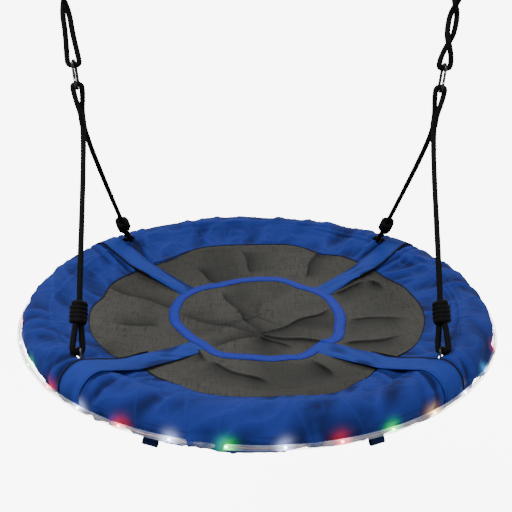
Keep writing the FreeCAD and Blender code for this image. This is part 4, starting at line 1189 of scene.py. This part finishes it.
def make_strap(corner, azimuth):
    """Cloth strap with turned edges, and a black webbing strip along one edge, partly its lining and partly a
    painted shadow line beside it.
    """
    looks = STRAP_LOOKS[corner]
    line = strap_line()
    steps = np.concatenate([[0], np.cumsum(np.linalg.norm(np.diff(line, axis=0), axis=1))])
    slope = np.gradient(line, axis=0)
    slope /= np.linalg.norm(slope, axis=1)[:, None]
    normal = np.stack([-slope[:, 1], slope[:, 0]], 1)
    across = np.linspace(-1, 1, 25)
    s, w = np.meshgrid(steps, across, indexing="ij")
    free = smoothed((0.19 - s) / 0.06) * smoothed((s + 0.01) / 0.05)
    wave = smooth_noise(s / 0.045, w * 1.1 + 5, looks["seed"]) * 0.0022 * (0.25 + 0.75 * free)
    crease = (ridged(s / 0.05 + w * 0.8, w * 0.9, looks["seed"] + 9) - 0.3) * 0.0019 * (0.3 + 0.7 * free)
    tilt = w * looks["tilt"] * free
    edge = -0.0013 * smoothed((np.abs(w) - 0.9) / 0.1)
    seam = bell(np.abs(w) - 0.84, 0.03)
    lift = 0.0008 + wave + crease + tilt + edge - seam * 0.0004
    lift = np.maximum(lift, -0.0004) + 0.0026 * free * (1 - w * w)
    half = STRAP_WIDTH / 2 * (1 - 0.10 * free * (1 + smooth_noise(s / 0.09, 0 * s, looks["seed"] + 3)))
    turn = math.radians(azimuth)
    out = np.array((math.cos(turn), math.sin(turn), 0))
    beside = np.array((-math.sin(turn), math.cos(turn), 0))

    def laid(sideways, height, rows=slice(None)):
        flat = line[rows, None, :] + normal[rows, None, :] * height[rows, :, None]
        place = flat[..., :1] * out + sideways[rows, :, None] * beside
        place[..., 2] = RIM_Z + flat[..., 1]
        return place

    # Painted shade: darker in the strap's dips and creases and along its seams.
    fold = np.clip(-(wave + crease) / 0.002, 0, 1) * 0.8 + seam * 0.35
    mesh = grid_mesh(f"{corner}_strap_cloth", laid(w * half, lift), fold=fold)
    strap = add_piece(f"{corner}_strap_cloth", mesh, "seat", STRAP_CLOTH, [f"{corner}_strap"])
    thicken(strap, 0.0012, 1.0)
    reach = 0.0022 + 0.0009 * smooth_noise(s / 0.05, 0 * s, looks["seed"] + 5)
    lining_and_shadow_rows = slice(36, len(line))
    edging = looks["lining_and_shadow_line"] * (half + 0.0010) + w * reach
    mesh = grid_mesh(f"{corner}_strap_lining", laid(edging, lift + 0.0006, lining_and_shadow_rows))
    thicken(add_piece(f"{corner}_strap_lining", mesh, "seat", BLACK_WEBBING), 0.0014, 0.0)


for strap_corner, strap_turn in STRAPS.items():
    make_strap(strap_corner, strap_turn)


# ---------------------------------------------------------------- rim loops


def make_rim_loops():
    """Short folded webbing tabs sewn to the cover's lower outside."""
    for i in range(LOOP_COUNT):
        azimuth = math.radians(LOOP_START + i * 360 / LOOP_COUNT)
        out = Vector((math.cos(azimuth), math.sin(azimuth), 0))
        beside = Vector((-math.sin(azimuth), math.cos(azimuth), 0))
        tilt = math.radians(-62)
        away = out * math.cos(tilt) + Vector((0, 0, math.sin(tilt)))
        over = beside.cross(away)
        root = out * FRAME_RADIUS + Vector((0, 0, RIM_Z))
        legs = [(0.0, 0.0030), (0.003, 0.0030), (0.0065, 0.0034), (0.0095, 0.0040)]
        path = [(COVER_RADIUS + reach, -height) for reach, height in legs]
        for a in range(15, 180, 15):
            bend = math.radians(a)
            path.append((COVER_RADIUS + 0.0095 + 0.0040 * math.sin(bend), -0.0040 * math.cos(bend)))
        path += [(COVER_RADIUS + reach, height) for reach, height in reversed(legs)]
        columns = 21
        points = np.zeros((len(path), columns, 3))
        folds = np.zeros((len(path), columns))
        for row, (reach, height) in enumerate(path):
            for column in range(columns):
                across = -1 + 2 * column / (columns - 1)
                rib = 0.00012 * math.cos(across * math.pi * 9)
                gape = 1 + 0.12 * across * math.sin(i * 2.4)
                place = root + away * (reach + rib) + over * (height * gape)
                points[row, column] = place + beside * (across * 0.013)
                # Painted shade: darker in the hollows between the ribs.
                folds[row, column] = 0.5 - 0.5 * math.cos(across * math.pi * 9)
        name = f"rim_loop_{i + 1}"
        loop = add_piece(name, grid_mesh(name, points, fold=folds), "seat", NAVY_WEBBING,
                         ["rim_loops"] if i == 0 else ())
        thicken(loop, 0.0014, 1.0)


make_rim_loops()


# ---------------------------------------------------------------- lights


def lathe(profile, around=20):
    """Rings of a turned shape, along X."""
    angle = np.linspace(0, 2 * math.pi, around, endpoint=False)
    return np.array([[(x, r * math.cos(a), r * math.sin(a)) for a in angle] for x, r in profile])


def make_tube():
    """Clear tube from one side of the plug right round to the other."""
    gap = math.degrees(0.0103 / LIGHT_RADIUS)
    azimuth = np.linspace(gap, 360 - gap, 1300)
    angle = np.linspace(0, 360, 16, endpoint=False)
    az, section = np.meshgrid(azimuth, angle, indexing="ij")
    dent = smooth_noise(az / 360 * 130, section / 120, 81, 130) * 0.00025
    wall = 0.0039 + dent
    turn, around = np.radians(az), np.radians(section)
    radius = LIGHT_RADIUS + wall * np.cos(around)
    height = RIM_Z - LIGHT_DROP + wall * np.sin(around)
    points = np.stack([radius * np.cos(turn), radius * np.sin(turn), height], 2)
    # Painted light of the bulbs: the tube gives off their colours and is more opaque near each one.
    strength, tint = painted_bulb_light(points, 0.0125)
    mesh = grid_mesh(
        "light_tube_skin", points[:, ::-1], close_v=True, fold=strength[:, ::-1], tint=tint[:, ::-1]
    )
    tube = add_piece("light_tube_skin", mesh, "seat", CLEAR_PIPE, ["light_tube"])
    thicken(tube, 0.0008, -1.0)


make_tube()


def make_bulbs():
    """Small domed bulbs in the light tube, one piece for each colour."""
    profile = [(-0.0026, 0.0004), (-0.0026, 0.0020), (-0.0018, 0.0022), (-0.0016, 0.0019), (0.0004, 0.0019)]
    for degrees in range(10, 90, 10):
        bend = math.radians(degrees)
        profile.append((0.0004 + 0.0021 * math.sin(bend), 0.0019 * math.cos(bend)))
    shape = lathe(profile)
    for number, (colour, tint) in enumerate(BULB_COLOURS.items()):
        meshes = []
        for i, chosen in enumerate(BULB_ORDER):
            if chosen != colour:
                continue
            turn, middle = bulb_place(i)
            mesh = grid_mesh(f"bulb_{i}", shape, close_v=True, capped=True)
            mesh.transform(Matrix.Translation(middle) @ Matrix.Rotation(turn + math.pi / 2, 4, "Z"))
            meshes.append(mesh)
        joined = meshes[0]
        if len(meshes) > 1:
            vertices = np.concatenate([[vertex.co[:] for vertex in m.vertices] for m in meshes]).tolist()
            faces, start = [], 0
            for m in meshes:
                faces += [[index + start for index in face.vertices] for face in m.polygons]
                start += len(m.vertices)
            joined = bpy.data.meshes.new(f"{colour}_bulbs")
            joined.from_pydata(vertices, [], faces)
            joined.polygons.foreach_set("use_smooth", [True] * len(joined.polygons))
        glow = lit_bulb(f"{colour}_light", tint, 22.0)
        add_piece(f"{colour}_bulbs", joined, "seat", glow, ["light_bulbs"] if number == 0 else ())


make_bulbs()


# ---------------------------------------------------------------- battery pouch


def make_pouch():
    """Soft pouch round the battery case, hanging under the seat with its mouth inwards."""
    low, high = (Vector(corner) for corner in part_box("battery_pouch"))
    middle = (low + high) / 2
    half = (high - low) / 2
    rows, columns = 44, 72
    points = np.zeros((rows, columns, 3))
    folds = np.zeros((rows, columns))
    for i in range(rows):
        t = i / (rows - 1)
        closing = math.sqrt(max(0.0, 1 - max(0.0, (t - 0.86) / 0.14) ** 2.2))
        for k in range(columns):
            angle = 2 * math.pi * k / columns
            c, s = math.cos(angle), math.sin(angle)
            box = (abs(c) ** 8 + abs(s) ** 8) ** (-1 / 8)
            belly = 1 + 0.03 * math.sin(math.pi * t)
            wrinkle = 1 + 0.012 * float(smooth_noise(np.array(t * 7.0), np.array(k / columns * 13), 71))
            points[i, k] = (
                low.x + (high.x - low.x) * t,
                middle.y + half.y * c * box * (0.55 + 0.45 * closing) * wrinkle,
                middle.z + half.z * s * box * (0.12 + 0.88 * closing) * wrinkle * belly,
            )
            # Painted shade: darker where the wrinkles dip in.
            folds[i, k] = 0.5 * (wrinkle < 0.996)
    mesh = grid_mesh("battery_pouch_cloth", points, close_v=True, fold=folds)
    pouch = add_piece("battery_pouch_cloth", mesh, "seat", POUCH_CLOTH, ["battery_pouch"])
    thicken(pouch, 0.0008, 1.0)


make_pouch()


# ---------------------------------------------------------------- floor and lamps


def make_stage():
    """A pale floor that curves up into a wall far behind everything."""
    profile = [(0.02, -2.0), (6.0, -2.0), (9.0, -1.6), (11.0, -0.4), (12.0, 2.0), (12.0, 12.0)]
    sectors = 72
    points = np.zeros((sectors, len(profile), 3))
    for i in range(sectors):
        turn = 2 * math.pi * i / sectors
        for k, (radius, height) in enumerate(profile):
            points[i, k] = radius * math.cos(turn), radius * math.sin(turn), height
    floor_mesh = grid_mesh("floor", points, close_u=True)
    floor = bpy.data.objects.new("floor", floor_mesh)
    bpy.context.scene.collection.objects.link(floor)
    pale = Finish("pale_floor", Roughness=0.9, Specular_IOR_Level=0.0, Emission_Strength=7.0)
    pale.set(Base_Color=(0.9, 0.9, 0.9, 1.0), Emission_Color=(1.0, 1.0, 1.0, 1.0))
    floor_mesh.materials.append(pale.material)
    floor.visible_diffuse = False
    floor.visible_glossy = False
    floor.visible_shadow = False


def add_lamp(name, place, size, power):
    """A round white lamp that faces the middle of the rim."""
    lamp = bpy.data.lights.new(name, "AREA")
    lamp.shape = "DISK"
    lamp.size = size
    lamp.energy = power
    holder = bpy.data.objects.new(name, lamp)
    bpy.context.scene.collection.objects.link(holder)
    holder.location = place
    holder.rotation_euler = (Vector((0, 0, RIM_Z)) - Vector(place)).to_track_quat("-Z", "Y").to_euler()


make_stage()
add_lamp("key_light", (-1.2, -0.9, 1.6), 0.9, 75)
add_lamp("fill_light", (1.8, -1.6, 0.5), 1.6, 16)
add_lamp("back_light", (0.6, 2.2, 1.0), 1.2, 40)
world = bpy.context.scene.world or bpy.data.worlds.new("studio")
bpy.context.scene.world = world
world.use_nodes = True
world.node_tree.nodes["Background"].inputs[0].default_value = (1.0, 1.0, 1.0, 1.0)
world.node_tree.nodes["Background"].inputs[1].default_value = 0.85
